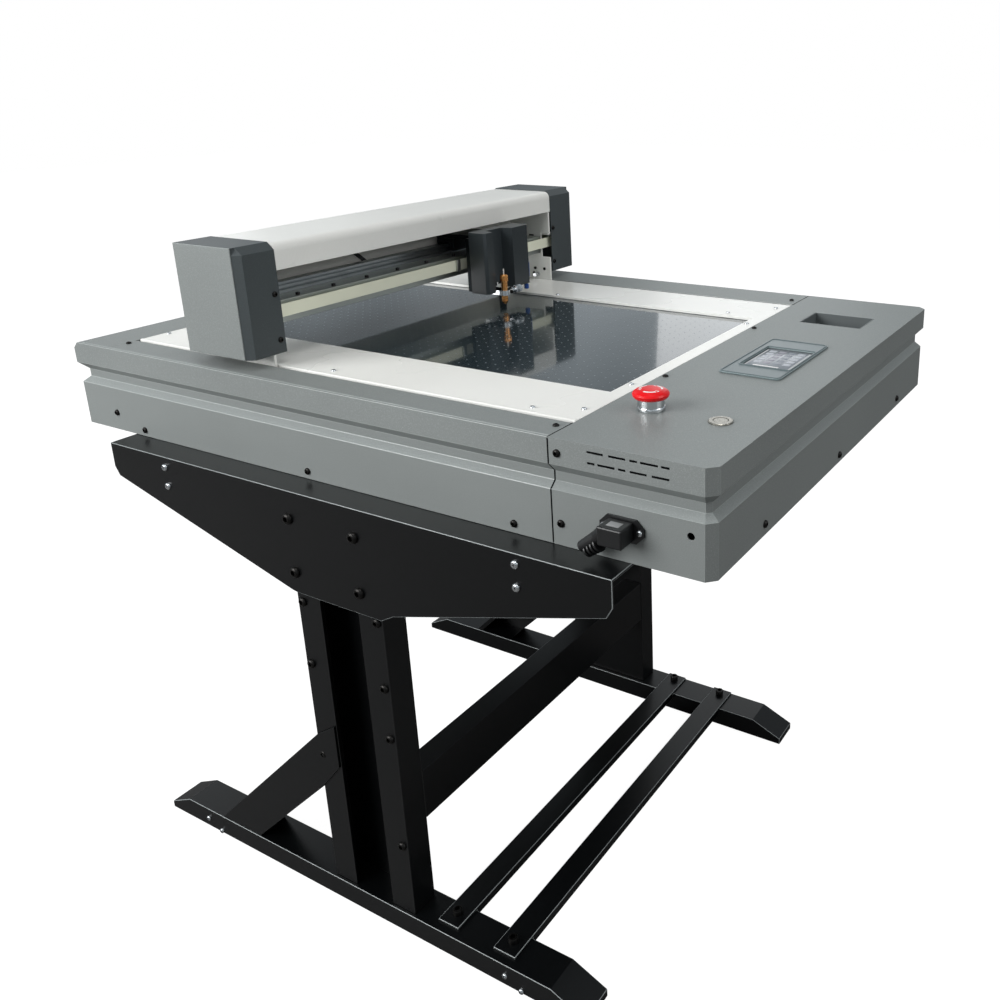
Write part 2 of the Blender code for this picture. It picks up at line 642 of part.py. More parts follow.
def make_deck_covers():
    """Three bent covers flush with the casing's rim."""
    sheet = (DECK - SHEET, DECK)
    lip = (DECK - COVER_LIP, DECK - SHEET / 2)
    south = BODY_Y[0] + RIM + GAP
    north = BODY_Y[1] - RIM - GAP
    middle = (FRAME_X[0] + GAP, SEAM_X - GAP)
    front_edge = BODY_Y[0] + FRONT_STRIP
    front = box(middle, (south, front_edge), sheet)
    join(front, box(middle, (front_edge - SHEET, front_edge), lip))
    part(front, "front_deck_cover", "charcoal_paint")

    rear_edge = BODY_Y[1] - REAR_STRIP
    rear = box(middle, (rear_edge, north), sheet)
    join(rear, box(middle, (rear_edge, rear_edge + SHEET), lip))
    part(rear, "rear_deck_cover", "charcoal_paint")

    left = box((BODY_X[0] + LEFT_BEVEL + RIM + GAP, FRAME_X[0] - GAP), (south, north), sheet)
    join(left, box((FRAME_X[0] - GAP - SHEET, FRAME_X[0] - GAP), wider(FRAME_Y, -0.01), lip))
    part(left, "left_deck_cover", "charcoal_paint")


# ---- table and suction -------------------------------------------------------------------
def make_table():
    """The white frame, the perforated table plate under it, and the suction chamber."""
    frame = box((FRAME_X[0] + GAP, FRAME_X[1] - GAP), FRAME_Y, (DECK - FRAME_THICK, DECK))
    cut(frame, box(TABLE_X, TABLE_Y, wider((DECK - FRAME_THICK, DECK))))
    part(frame, "table_frame", "white_paint")

    plate_bottom = TABLE_TOP - TABLE_THICK
    plate = box((TABLE_X[0] - TABLE_LAP, TABLE_X[1] + TABLE_LAP),
                (TABLE_Y[0] - TABLE_LAP, TABLE_Y[1] + TABLE_LAP), (plate_bottom, TABLE_TOP))
    part(plate, "vacuum_table", "gloss_black")

    top = plate_bottom - GAP
    bottom = top - CHAMBER_DEPTH
    chamber = box(TABLE_X, TABLE_Y, (bottom, top))
    wall = CHAMBER_SHEET
    cut(chamber, box(wider(TABLE_X, -wall), wider(TABLE_Y, -wall), (bottom + wall, top + wall)),
        rod("Z", (FAN_X, FAN_Y, 0), (bottom - wall, bottom + 2 * wall), PORT_RADIUS))
    part(chamber, "vacuum_box", "zinc")


def make_fan():
    """A drum fan between the base pan and the chamber: housing and bladed rotor."""
    low = PAN_TOP + GAP
    high = TABLE_TOP - TABLE_THICK - GAP - CHAMBER_DEPTH - GAP
    rotor_low = low + FAN_WALL + 0.003
    spigot_top = high - 0.020
    shell = turned("Z", (FAN_X, FAN_Y, 0), [
        (PORT_RADIUS, high), (FAN_RADIUS, high), (FAN_RADIUS, low), (0.0005, low),
        (0.0005, spigot_top), (SPIGOT_RADIUS, spigot_top), (SPIGOT_RADIUS, rotor_low - GAP),
        (ROTOR_HUB, rotor_low - GAP), (ROTOR_HUB, low + FAN_WALL),
        (FAN_RADIUS - FAN_WALL, low + FAN_WALL), (FAN_RADIUS - FAN_WALL, high - FAN_WALL),
        (PORT_RADIUS, high - FAN_WALL)], sides=48)
    outlet = box((FAN_X + 0.020, FAN_X + 0.060), (FAN_Y + 0.040, FAN_Y + FAN_RADIUS + 0.010),
                 (low + 0.012, high - 0.012))
    part(cut(shell, outlet), "fan_housing", "black_plastic")

    pivot = add_pivot("fan_axis", (FAN_X, FAN_Y, 0))
    blade_high = high - FAN_WALL - 0.004
    rotor = turned("Z", (FAN_X, FAN_Y, 0), [
        (0.0, spigot_top + 0.004), (ROTOR_HUB, spigot_top + 0.004), (ROTOR_HUB, rotor_low + 0.002),
        (ROTOR_RADIUS, rotor_low + 0.002), (ROTOR_RADIUS, rotor_low),
        (SPIGOT_RADIUS + GAP, rotor_low), (SPIGOT_RADIUS + GAP, spigot_top + GAP),
        (0.0, spigot_top + GAP)], sides=48)
    for number in range(ROTOR_BLADES):
        blade = box((ROTOR_HUB - 0.002, ROTOR_RADIUS - 0.001), (-0.00075, 0.00075),
                    (rotor_low + 0.001, blade_high))
        turn = Matrix.Rotation(2 * math.pi * number / ROTOR_BLADES, 4, "Z")
        reach = blade.location.copy()
        blade.location = turn @ reach + Vector((FAN_X, FAN_Y, 0))
        blade.rotation_euler = turn.to_euler()
        join(rotor, blade)
    part(rotor, "fan_rotor", "grey_plastic", pivot)


# ---- electronics -------------------------------------------------------------------------
def make_electronics():
    """The power supply and the control board on the pan, in the control bay."""
    low = PAN_TOP + GAP
    west = SEAM_X + WIRING_ROOM
    south = BODY_Y[0] + SUPPLY_IN
    wide, deep, high = SUPPLY_SIZE
    wall = 0.012
    supply = box((west, west + wide), (south, south + deep), (low, low + high))
    cut(supply, box((west + wall, west + wide - wall), (south - 0.010, south + 0.014),
                    (low + wall, low + high + 0.010)))
    part(supply, "power_supply", "zinc")

    south = BODY_Y[0] + BOARD_IN
    wide, deep = BOARD_SIZE
    stand = low + 0.008
    inset = 0.006
    board = box((west, west + wide), (south, south + deep), (stand, stand + BOARD_THICK))
    for x in (west + inset, west + wide - inset):
        for y in (south + inset, south + deep - inset):
            join(board, rod("Z", (x, y, 0), (low, stand + 0.001), 0.003, 12))
    # parts on the board: place, size and height
    for x, y, across, along, high in (
            (0.030, 0.030, 0.020, 0.020, 0.003), (0.075, 0.050, 0.028, 0.028, 0.004),
            (0.110, 0.090, 0.014, 0.050, 0.012), (0.030, 0.110, 0.030, 0.016, 0.014),
            (0.070, 0.150, 0.060, 0.012, 0.010)):
        join(board, box(around(west + x, across / 2), around(south + y, along / 2),
                        (stand + BOARD_THICK / 2, stand + BOARD_THICK + high)))
    part(board, "main_board", "circuit_board")


# ---- X rails, belts, shafts --------------------------------------------------------------
def rail_outline(centre, foot):
    """A profiled guide rail's section: broad foot, waist and head."""
    half, waist = RAIL_WIDTH / 2, RAIL_WAIST / 2
    right = [(half, 0.0), (half, 0.004), (waist, 0.006), (waist, 0.0095), (half, 0.012),
             (half, RAIL_HEIGHT)]
    left = [(-across, up) for across, up in reversed(right)]
    return [(centre + across, foot + up) for across, up in right + left]


def belt_loop(first, second, radius, thickness):
    """The outer and inner outlines of a belt round two pulleys on a level line."""
    rings = []
    for reach in (radius + thickness, radius):
        rings.append(arc(second, reach, -90, 90, 12) + arc(first, reach, 90, 270, 12))
    return rings


def pulley_profile(radius, low, high, bore):
    """A flanged pulley's profile; low and high are the belt's edges with their gap."""
    rim = radius + FLANGE_STEP
    return [(bore, high + FLANGE_THICK), (rim, high + FLANGE_THICK), (rim, high), (radius, high),
            (radius, low), (rim, low), (rim, low - FLANGE_THICK), (bore, low - FLANGE_THICK)]


def make_x_drive():
    """Two rails, two belts and the two shafts that the belts run on."""
    for name, leg_y, belt_y in (("front", FRONT_LEG_Y, FRONT_BELT_Y),
                                ("rear", REAR_LEG_Y, REAR_BELT_Y)):
        rail = prism([rail_outline(leg_y, PAN_TOP + GAP)], "YZ", X_RAIL)
        part(rail, "x_rail_" + name, "steel")
        belt = prism(belt_loop((DRIVE_X, SHAFT_Z), (IDLER_X, SHAFT_Z), X_PULLEY_RADIUS + GAP,
                               BELT_THICK), "XZ", around(belt_y, X_BELT_WIDTH / 2))
        part(belt, "x_belt_" + name, "belt")
    half = X_BELT_WIDTH / 2 + GAP
    for name, x, end in (("drive_shaft", DRIVE_X, MOTOR_BRACKET_Y + 0.012),
                         ("x_idler_shaft", IDLER_X, REAR_BELT_Y + half + 0.004)):
        pivot = add_pivot(name + "_axis", (x, 0, SHAFT_Z))
        shaft = rod("Y", (x, 0, SHAFT_Z), (FRONT_BELT_Y - half - 0.004, end), SHAFT_RADIUS)
        for belt_y in (FRONT_BELT_Y, REAR_BELT_Y):
            profile = pulley_profile(X_PULLEY_RADIUS, -half, half, SHAFT_RADIUS - 0.001)
            join(shaft, turned("Y", (x, belt_y, SHAFT_Z), profile))
        part(shaft, name, "steel", pivot)
    front = MOTOR_BRACKET_Y + BRACKET_THICK / 2 + GAP
    motor = box(around(DRIVE_X, X_MOTOR_HALF), (front, front + X_MOTOR_LENGTH),
                around(SHAFT_Z, X_MOTOR_HALF))
    cut(motor, rod("Y", (DRIVE_X, 0, SHAFT_Z), (front - 0.001, MOTOR_BRACKET_Y + 0.013),
                   SHAFT_RADIUS + GAP))
    part(motor, "x_motor", "black_plastic")


# ---- controls ----------------------------------------------------------------------------
def make_estop():
    """A mushroom stop button: chrome collar, stem that is pressed, head that turns on it."""
    pivot = add_pivot("estop_axis", (*ESTOP, DECK))
    place = (*ESTOP, DECK)
    bore = 0.0063
    under = -SHEET - GAP
    barrel = ESTOP_COLLAR - 0.0035
    height = ESTOP_COLLAR_HEIGHT
    collar = turned("Z", place, [
        (bore, height), (ESTOP_COLLAR - 0.001, height), (ESTOP_COLLAR, height - 0.001),
        (ESTOP_COLLAR, GAP), (barrel, GAP), (barrel, under), (0.0165, under),
        (0.0165, under - 0.005), (barrel, under - 0.005), (barrel, -0.022), (bore, -0.022)])
    part(collar, "estop_collar", "chrome")
    stem_top = height + 0.0065
    stem = turned("Z", place, [(0.0, stem_top), (bore - GAP, stem_top), (bore - GAP, -0.018),
                               (0.0, -0.018)])
    part(stem, "estop_stem", "red_plastic", pivot)
    skirt = ESTOP_COLLAR + 0.0007
    low, top = height - 0.0002, height + 0.0097
    head = turned("Z", place, [
        (0.0, top), (0.008, top - 0.0002), (0.0130, top - 0.0009), (0.0165, top - 0.0021),
        (ESTOP_HEAD - 0.0012, top - 0.0036),
        (ESTOP_HEAD, low + 0.0045), (ESTOP_HEAD - 0.0006, low + 0.0020), (ESTOP_HEAD - 0.0025, low),
        (skirt, low), (skirt, low + ESTOP_TRAVEL + 0.001), (bore, low + ESTOP_TRAVEL + 0.001),
        (bore, stem_top + GAP), (0.0, stem_top + GAP)], sides=40)
    part(head, "estop_head", "red_plastic", pivot)


def make_button():
    """A flush metal push button in its bezel."""
    pivot = add_pivot("button_axis", (*BUTTON, DECK))
    place = (*BUTTON, DECK)
    bore = BUTTON_CAP + GAP
    under = -SHEET - GAP
    barrel = BUTTON_BEZEL - 0.0035
    bezel = turned("Z", place, [
        (bore, 0.0018), (BUTTON_BEZEL - 0.0008, 0.0018), (BUTTON_BEZEL, 0.001), (BUTTON_BEZEL, GAP),
        (barrel, GAP), (barrel, under), (0.0145, under), (0.0145, under - 0.004),
        (barrel, under - 0.004), (barrel, -0.020), (bore, -0.020)])
    part(bezel, "button_bezel", "steel")
    cap = turned("Z", place, [(0.0, 0.0016), (BUTTON_CAP - 0.0006, 0.0016), (BUTTON_CAP, 0.001),
                              (BUTTON_CAP, -0.014), (0.0, -0.014)])
    part(cap, "button_cap", "steel", pivot)


def make_touch_panel():
    """The operating panel: a raised bezel clipped into the deck, and its glass."""
    rim = 0.0022
    bezel = prism([rounded(PANEL_X, PANEL_Y, 0.006)], "XY", (DECK + GAP, DECK + rim))
    body = box(around(sum(PANEL_X) / 2, PANEL_BODY[0] / 2 - GAP),
               around(sum(PANEL_Y) / 2, PANEL_BODY[1] / 2 - GAP), (DECK - 0.012, DECK + rim / 2))
    join(bezel, body)
    lap = 0.0015
    seat = DECK + rim - 0.0012
    cut(bezel, box(wider(SCREEN_X, -lap), wider(SCREEN_Y, -lap), (DECK - 0.020, DECK + 0.010)),
        box(SCREEN_X, SCREEN_Y, (seat - 0.002, DECK + 0.010)))
    part(bezel, "touch_bezel", "grey_plastic")
    glass = box(wider(SCREEN_X, -GAP), wider(SCREEN_Y, -GAP), (seat - 0.002 + GAP, seat))
    part(glass, "touch_glass", "glass")


def make_pocket():
    """A sunken tray in the deck, hung under it by its flange."""
    flange_top = DECK - SHEET - GAP
    lip = 0.006
    bottom = DECK - POCKET_DEPTH
    tray = box(POCKET_X, POCKET_Y, (bottom, DECK))
    join(tray, box(wider(POCKET_X, lip), wider(POCKET_Y, lip), (flange_top - 0.0015, flange_top)))
    cut(tray, box(wider(POCKET_X, -0.0015), wider(POCKET_Y, -0.0015),
                  (bottom + SHEET, DECK + 0.002)))
    part(tray, "pocket_tray", "dark_charcoal")


def make_inlet():
    """The mains inlet in the bay's front wall and the angled plug in it."""
    z = STAND_HEIGHT + INLET_RISE
    face = BODY_Y[0] + LOWER_INSET - GAP
    half_w, half_h = INLET_HALF
    flange = [(-0.025, -0.004), (-0.0165, -0.0125), (0.0165, -0.0125), (0.025, -0.004),
              (0.025, 0.004), (0.0165, 0.0125), (-0.0165, 0.0125), (-0.025, 0.004)]
    inlet = prism([[(INLET_X + u, z + v) for u, v in flange]], "XZ", (face - 0.0025, face))
    join(inlet, box(around(INLET_X, half_w), (face - 0.001, face + 0.024), around(z, half_h)))
    cavity = (half_w - 0.002, half_h - 0.002)
    cut(inlet, box(around(INLET_X, cavity[0]), (face - 0.010, face + 0.018), around(z, cavity[1])))
    part(inlet, "power_inlet", "black_plastic")

    nose = box(around(INLET_X, cavity[0] - GAP), (face - 0.006, face + 0.017),
               around(z, cavity[1] - GAP))
    body_y = (face - 0.026, face - 0.0025 - GAP)
    body = box(around(INLET_X, 0.0137), body_y, around(z, 0.0100))
    bevel = body.modifiers.new("round", "BEVEL")
    bevel.width = 0.0015
    bevel.segments = 2
    relief = turned("X", (INLET_X - 0.0105, sum(body_y) / 2, z), [
        (0.0, 0.004), (0.0085, 0.004), (0.0085, -0.004), (0.0070, -0.012), (0.0058, -0.036),
        (0.0, -0.036)], sides=24)
    lean = Matrix.Rotation(math.radians(PLUG_LEAN), 4, "Y")
    relief.rotation_euler = (lean @ TURNS["X"]).to_euler()
    join(nose, body, relief)
    part(nose, "mains_plug", "black_plastic")



# ---- stand -------------------------------------------------------------------------------
def make_feet():
    """Two long feet with sloping ends, each on four pads."""
    outline = [(FOOT_LEFT, PAD_HEIGHT), (FOOT_RIGHT, PAD_HEIGHT),
               (FOOT_RIGHT, PAD_HEIGHT + FOOT_TOE),
               (FOOT_RIGHT - FOOT_SLOPE_RIGHT, FOOT_TOP), (FOOT_LEFT + FOOT_SLOPE_LEFT, FOOT_TOP),
               (FOOT_LEFT, PAD_HEIGHT + FOOT_TOE)]
    for name, front in (("near_foot", FOOT_Y), ("far_foot", FAR_FOOT_Y)):
        foot = prism([outline], "XZ", (front, front + FOOT_WIDTH))
        places = [FOOT_LEFT + end for end in PAD_ENDS] + [FOOT_RIGHT - end for end in PAD_ENDS]
        for x in places:
            join(foot, box(around(x, PAD_SIZE[0] / 2), around(front + FOOT_WIDTH / 2, PAD_SIZE[1] / 2),
                           (0.0, PAD_HEIGHT + 0.001)))
        part(foot, name, "satin_black")


def make_posts():
    """Lipped channels, open to the outside of the stand."""
    for name, face, inward in (("near_post", NEAR_POST_Y, 1), ("far_post", FAR_POST_Y, -1)):
        web = face + inward * POST_DEPTH
        west, east = POST_X
        outline = [(west, face), (west + POST_LIP, face), (west + POST_LIP, face + inward * STEEL),
                   (west + STEEL, face + inward * STEEL), (west + STEEL, web - inward * STEEL),
                   (east - STEEL, web - inward * STEEL), (east - STEEL, face + inward * STEEL),
                   (east - POST_LIP, face + inward * STEEL), (east - POST_LIP, face), (east, face),
                   (east, web), (west, web)]
        part(prism([outline], "XY", (FOOT_TOP + GAP, POST_TOP)), name, "satin_black")


def make_arms():
    """The long gusset plates under the body, each with its flange bent in under it."""
    left, right = BODY_X[0] + ARM_LEFT_IN, BODY_X[1] - ARM_RIGHT_IN
    west, east = POST_X
    deep = ARM_TOP - ARM_DROP
    outline = [(left, ARM_TOP), (left, ARM_TOP - 0.0335), (left + 0.0077, ARM_TOP - 0.0457),
               (west - 0.0029, deep + 0.0013), (west + 0.0056, deep), (east + 0.0019, deep),
               (east + 0.0206, deep + 0.0105), (right - 0.0077, ARM_TOP - 0.0437),
               (right, ARM_TOP - 0.0307), (right, ARM_TOP)]
    for name, face, inward in (("near_arm_plate", NEAR_POST_Y, 1),
                               ("far_arm_plate", FAR_POST_Y, -1)):
        inner = face - inward * GAP
        outer = inner - inward * ARM_PLATE
        plate = prism([outline], "XZ", tuple(sorted((outer, inner))))
        reach = tuple(sorted((outer, outer + inward * ARM_FLANGE)))
        flange = box((left, right), reach, (ARM_TOP - STEEL, ARM_TOP))
        part(join(plate, flange), name, "satin_black")


def make_braces():
    """Diagonal channels from the feet to the posts, open to the inside, with a bolting tab."""
    side = POST_X[0] - GAP
    start = POST_X[0] - BRACE_REACH
    stop = start + BRACE_FOOT
    outer = [(start, FOOT_TOP + GAP), (stop, FOOT_TOP + GAP), (side, BRACE_LOW), (side, BRACE_HIGH)]
    inner = [(start + 0.0057, FOOT_TOP - 0.005), (stop - 0.0057, FOOT_TOP - 0.005),
             (side + 0.005, BRACE_LOW + 0.0095), (side + 0.005, BRACE_HIGH + 0.0001)]
    tab_x = (side - 0.030, side + 0.004, side + 0.0368)
    tab = [(tab_x[0], BRACE_HIGH - 0.030), (tab_x[0], BRACE_LOW - 0.0283),
           (tab_x[1], BRACE_LOW + 0.0053), (tab_x[2], BRACE_LOW + 0.0443),
           (tab_x[2], BRACE_HIGH + 0.0259), (tab_x[1], BRACE_HIGH + 0.004)]
    for name, face, inward in (("near_brace", NEAR_POST_Y, 1), ("far_brace", FAR_POST_Y, -1)):
        front = face - inward * GAP
        skin = front - inward * ARM_PLATE
        depth = front + inward * BRACE_DEPTH
        brace = prism([outer], "XZ", tuple(sorted((skin, depth))))
        hollow = tuple(sorted((front + inward * STEEL, depth + inward * 0.01)))
        cut(brace, prism([inner], "XZ", hollow))
        join(brace, prism([tab], "XZ", tuple(sorted((skin, front)))))
        part(brace, name, "satin_black")


def make_ties():
    """The cross beam between the posts and the two angle bars across the feet."""
    near_web = NEAR_POST_Y + POST_DEPTH + GAP
    far_web = FAR_POST_Y - POST_DEPTH - GAP
    beam = box(CROSS_BEAM_X, (near_web, far_web), CROSS_BEAM_Z)
    cut(beam, box(wider(CROSS_BEAM_X, -TUBE), wider((near_web, far_web)),
                  wider(CROSS_BEAM_Z, -TUBE)))
    part(beam, "cross_beam", "satin_black")
    low = FOOT_TOP + GAP
    for name, (west, east) in (("foot_bar_left", BAR_LEFT_X), ("foot_bar_right", BAR_RIGHT_X)):
        bar = box((west, east), (FOOT_Y + 0.012, FAR_FOOT_Y + FOOT_WIDTH - 0.001),
                  (low, low + STEEL))
        between = (FOOT_Y + FOOT_WIDTH + 0.001, FAR_FOOT_Y - 0.001)
        join(bar, box((east - STEEL, east), between,
                      (low + STEEL / 2 - BAR_DROP, low + STEEL / 2)))
        part(bar, name, "satin_black")


# ---- gantry ------------------------------------------------------------------------------
def cap_section(y, narrow, low):
    """One section of an end cap: its upright sides and top with the two long bevels."""
    west, east = CAP_X[0] + narrow, CAP_X[1] - narrow
    top = DECK + CAP_TOP
    bevel = CAP_CUT_X - narrow
    return [(west, y, low), (west, y, top - CAP_BEVEL_Z), (west + bevel, y, top),
            (east - bevel, y, top), (east, y, top - CAP_BEVEL_Z), (east, y, low)]


def make_end_caps(gantry):
    """Moulded caps: the front one is open below for its leg, the rear one is closed there."""
    low = DECK + CAP_LIFT
    for name, outer, inner, closed in (("front_end_cap", FRONT_CAP_Y[0], FRONT_CAP_Y[1], False),
                                       ("rear_end_cap", REAR_CAP_Y[1], REAR_CAP_Y[0], True)):
        step = math.copysign(CAP_CUT_Y, inner - outer)
        rings = [cap_section(inner, 0.0, low), cap_section(outer + step, 0.0, low),
                 cap_section(outer, CAP_CUT_X, low)]
        middle = (GANTRY_X, (outer + inner) / 2, DECK + CAP_TOP / 2)
        cap = thicken(loft(rings, middle, closed=closed, fill_last=True), SHEET)
        part(cap, name, "charcoal_paint", gantry)


def make_gantry_cover(gantry):
    """A bent white cover over the beam, between the caps."""
    west, east = CAP_X[0] + COVER_INSET, CAP_X[1] - COVER_INSET
    top = DECK + CAP_TOP - COVER_INSET
    profile = ([(east, DECK + COVER_FRONT_EDGE)]
               + arc((east - COVER_CORNER, top - COVER_CORNER), COVER_CORNER, 0, 90, 6)
               + arc((west + COVER_CORNER, top - COVER_CORNER), COVER_CORNER, 90, 180, 6)
               + [(west, DECK + COVER_REAR_EDGE)])
    ends = (FRONT_CAP_Y[1] + GAP, REAR_CAP_Y[0] - GAP)
    rings = [[(x, y, z) for x, z in profile] for y in ends]
    cover = thicken(loft(rings, (GANTRY_X, 0.0, DECK + 0.08), closed=False), SHEET)
    smooth(cover)
    part(cover, "gantry_cover", "white_paint", gantry)


def leg_outline(step_at, low):
    """A leg's plate: full width below, inside the cover and the cap above."""
    west, east = LEG_X
    upper = CAP_X[1] - COVER_INSET - SHEET - GAP
    top = DECK + CAP_TOP - COVER_INSET - SHEET - GAP
    rear = CAP_X[0] + COVER_INSET + SHEET + GAP
    corner = COVER_CORNER
    shoulder = DECK + CAP_LIFT + 0.040
    return [(west, low), (east, low), (east, step_at), (upper, step_at), (upper, top - corner),
            (upper - corner, top), (rear + corner, top), (rear, top - corner),
            (rear, shoulder + 0.020), (west, shoulder)]


def make_legs(gantry):
    """Steel legs that pass down through the deck's slots to their bearing blocks."""
    block_low, block_high = PAN_TOP + BLOCK_FOOT, PAN_TOP + BLOCK_TOP
    belt_mid = Y_BELT_LOW + Y_BELT_WIDTH / 2
    notch_x = (CAP_X[1] - NOTCH_DEPTH, CAP_X[1] + 0.01)
    back_run = Y_PULLEY_X - Y_PULLEY_RADIUS - GAP - BELT_THICK / 2
    for name, leg_y, belt_y, pulley_y, step_at in (
            ("front_leg", FRONT_LEG_Y, FRONT_BELT_Y, Y_IDLER_Y, DECK + CAP_LIFT - GAP),
            ("rear_leg", REAR_LEG_Y, REAR_BELT_Y, Y_DRIVE_Y, DECK + COVER_FRONT_EDGE - GAP)):
        span = around(leg_y, LEG_THICK / 2)
        leg = prism([leg_outline(step_at, block_high - 0.001)], "XZ", span)
        middle = sum(LEG_X) / 2
        block = box(around(middle, 0.030), around(leg_y, BLOCK_WIDTH / 2), (block_low, block_high))
        channel = box(around(middle, 0.040), around(leg_y, RAIL_WIDTH / 2 + BLOCK_PLAY),
                      (PAN_TOP - 0.01, PAN_TOP + GAP + RAIL_HEIGHT + BLOCK_PLAY))
        belt_top = SHAFT_Z + X_PULLEY_RADIUS + GAP + BELT_THICK + GAP
        inner_edge = belt_y + math.copysign(X_BELT_WIDTH / 2, belt_y - leg_y)
        clamp = box(around(middle, 0.020), tuple(sorted((leg_y, inner_edge))),
                    (belt_top, belt_top + 0.004))
        outward = math.copysign(1, pulley_y - leg_y)
        shelf_half = Y_MOTOR_HALF if name == "rear_leg" else IDLER_SHELF_HALF
        shelf_end = pulley_y + outward * shelf_half
        shelf_x = around(Y_PULLEY_X, shelf_half)
        shelf_z = (DECK + SHELF_LOW, DECK + SHELF_LOW + SHELF_THICK)
        shelf = box(shelf_x, tuple(sorted((leg_y, shelf_end))), shelf_z)
        join(leg, cut(block, channel), clamp)
        cut(leg, box(notch_x, wider(span), (DECK + NOTCH_LOW, DECK + NOTCH_HIGH)),
            box(around(back_run, 0.006), wider(span),
                around(DECK + belt_mid, Y_BELT_WIDTH / 2 + 0.005)))
        join(leg, shelf)
        if name == "rear_leg":
            cut(leg, rod("Z", (Y_PULLEY_X, pulley_y, 0), wider(shelf_z), 0.006))
        else:
            join(leg, rod("Z", (Y_PULLEY_X, pulley_y, 0),
                          (DECK + Y_BELT_LOW - 0.002, shelf_z[0] + 0.001), AXLE_RADIUS, 24))
        part(leg, name, "white_paint", gantry)


def make_beam(gantry):
    """The hollow beam between the legs, its guide rail, and the cable tray behind it."""
    ends = (FRONT_LEG_Y + LEG_THICK / 2 + GAP, REAR_LEG_Y - LEG_THICK / 2 - GAP)
    height = (DECK + BEAM_LOW, DECK + BEAM_HIGH)
    beam = box(BEAM_X, ends, height)
    cut(beam, box(wider(BEAM_X, -BEAM_WALL), wider(ends), wider(height, -BEAM_WALL)))
    part(beam, "gantry_beam", "aluminium", gantry)
    rail = rail_outline(Y_RAIL_X, DECK + BEAM_HIGH + GAP)
    part(prism([rail], "XZ", (ends[0] + 0.010, ends[1] - 0.010)), "y_rail", "steel", gantry)
    rear = BEAM_X[0] - GAP
    wall = CAP_X[0] + COVER_INSET + SHEET + GAP + TRAY_SHEET
    start = (rear, DECK + BEAM_HIGH + 0.004)
    reach = rear - wall
    rise = 0.048
    curve = [(rear - reach * (1 - math.cos(math.radians(angle))),
              start[1] + rise * math.sin(math.radians(angle))) for angle in range(0, 91, 15)]
    profile = [(rear, DECK + BEAM_LOW + 0.003)] + curve
    rings = [[(x, y, z) for x, z in profile] for y in (ends[0] + 0.004, ends[1] - 0.004)]
    tray = loft(rings, (wall - 0.05, 0.0, DECK + BEAM_LOW), closed=False)
    part(thicken(tray, TRAY_SHEET), "cable_tray", "zinc", gantry)


def make_y_drive(gantry):
    """The carriage's belt, its motor, its driving pulley and its idler."""
    belt_z = (DECK + Y_BELT_LOW, DECK + Y_BELT_LOW + Y_BELT_WIDTH)
    rings = belt_loop((Y_IDLER_Y, 0.0), (Y_DRIVE_Y, 0.0), Y_PULLEY_RADIUS + GAP, BELT_THICK)
    turned_rings = [[(Y_PULLEY_X - across, along) for along, across in ring] for ring in rings]
    part(prism(turned_rings, "XY", belt_z), "y_belt", "belt", gantry)
    edges = (belt_z[0] - GAP, belt_z[1] + GAP)
    idler_axis = add_pivot("y_idler_axis", (Y_PULLEY_X, Y_IDLER_Y, 0), gantry)
    profile = pulley_profile(Y_PULLEY_RADIUS, *edges, AXLE_RADIUS + GAP)
    part(turned("Z", (Y_PULLEY_X, Y_IDLER_Y, 0), profile), "y_idler", "aluminium", idler_axis)
    drive_axis = add_pivot("y_drive_axis", (Y_PULLEY_X, Y_DRIVE_Y, 0), gantry)
    profile = pulley_profile(Y_PULLEY_RADIUS, *edges, 0.0)
    shaft_top = DECK + SHELF_LOW + SHELF_THICK + 0.010
    profile = [(0.0, shaft_top), (MOTOR_SHAFT, shaft_top),
               (MOTOR_SHAFT, edges[1] + FLANGE_THICK)] + profile[1:]
    pulley = turned("Z", (Y_PULLEY_X, Y_DRIVE_Y, 0), profile)
    part(pulley, "y_drive_pulley", "aluminium", drive_axis)
    motor_low = DECK + SHELF_LOW + SHELF_THICK + GAP
    motor = box(around(Y_PULLEY_X, Y_MOTOR_HALF), around(Y_DRIVE_Y, Y_MOTOR_HALF),
                (motor_low, motor_low + Y_MOTOR_HEIGHT))
    cut(motor, rod("Z", (Y_PULLEY_X, Y_DRIVE_Y, 0), (motor_low - 0.001, shaft_top + 0.001),
                   MOTOR_SHAFT + GAP, 24))
    part(motor, "y_motor", "black_plastic", gantry)


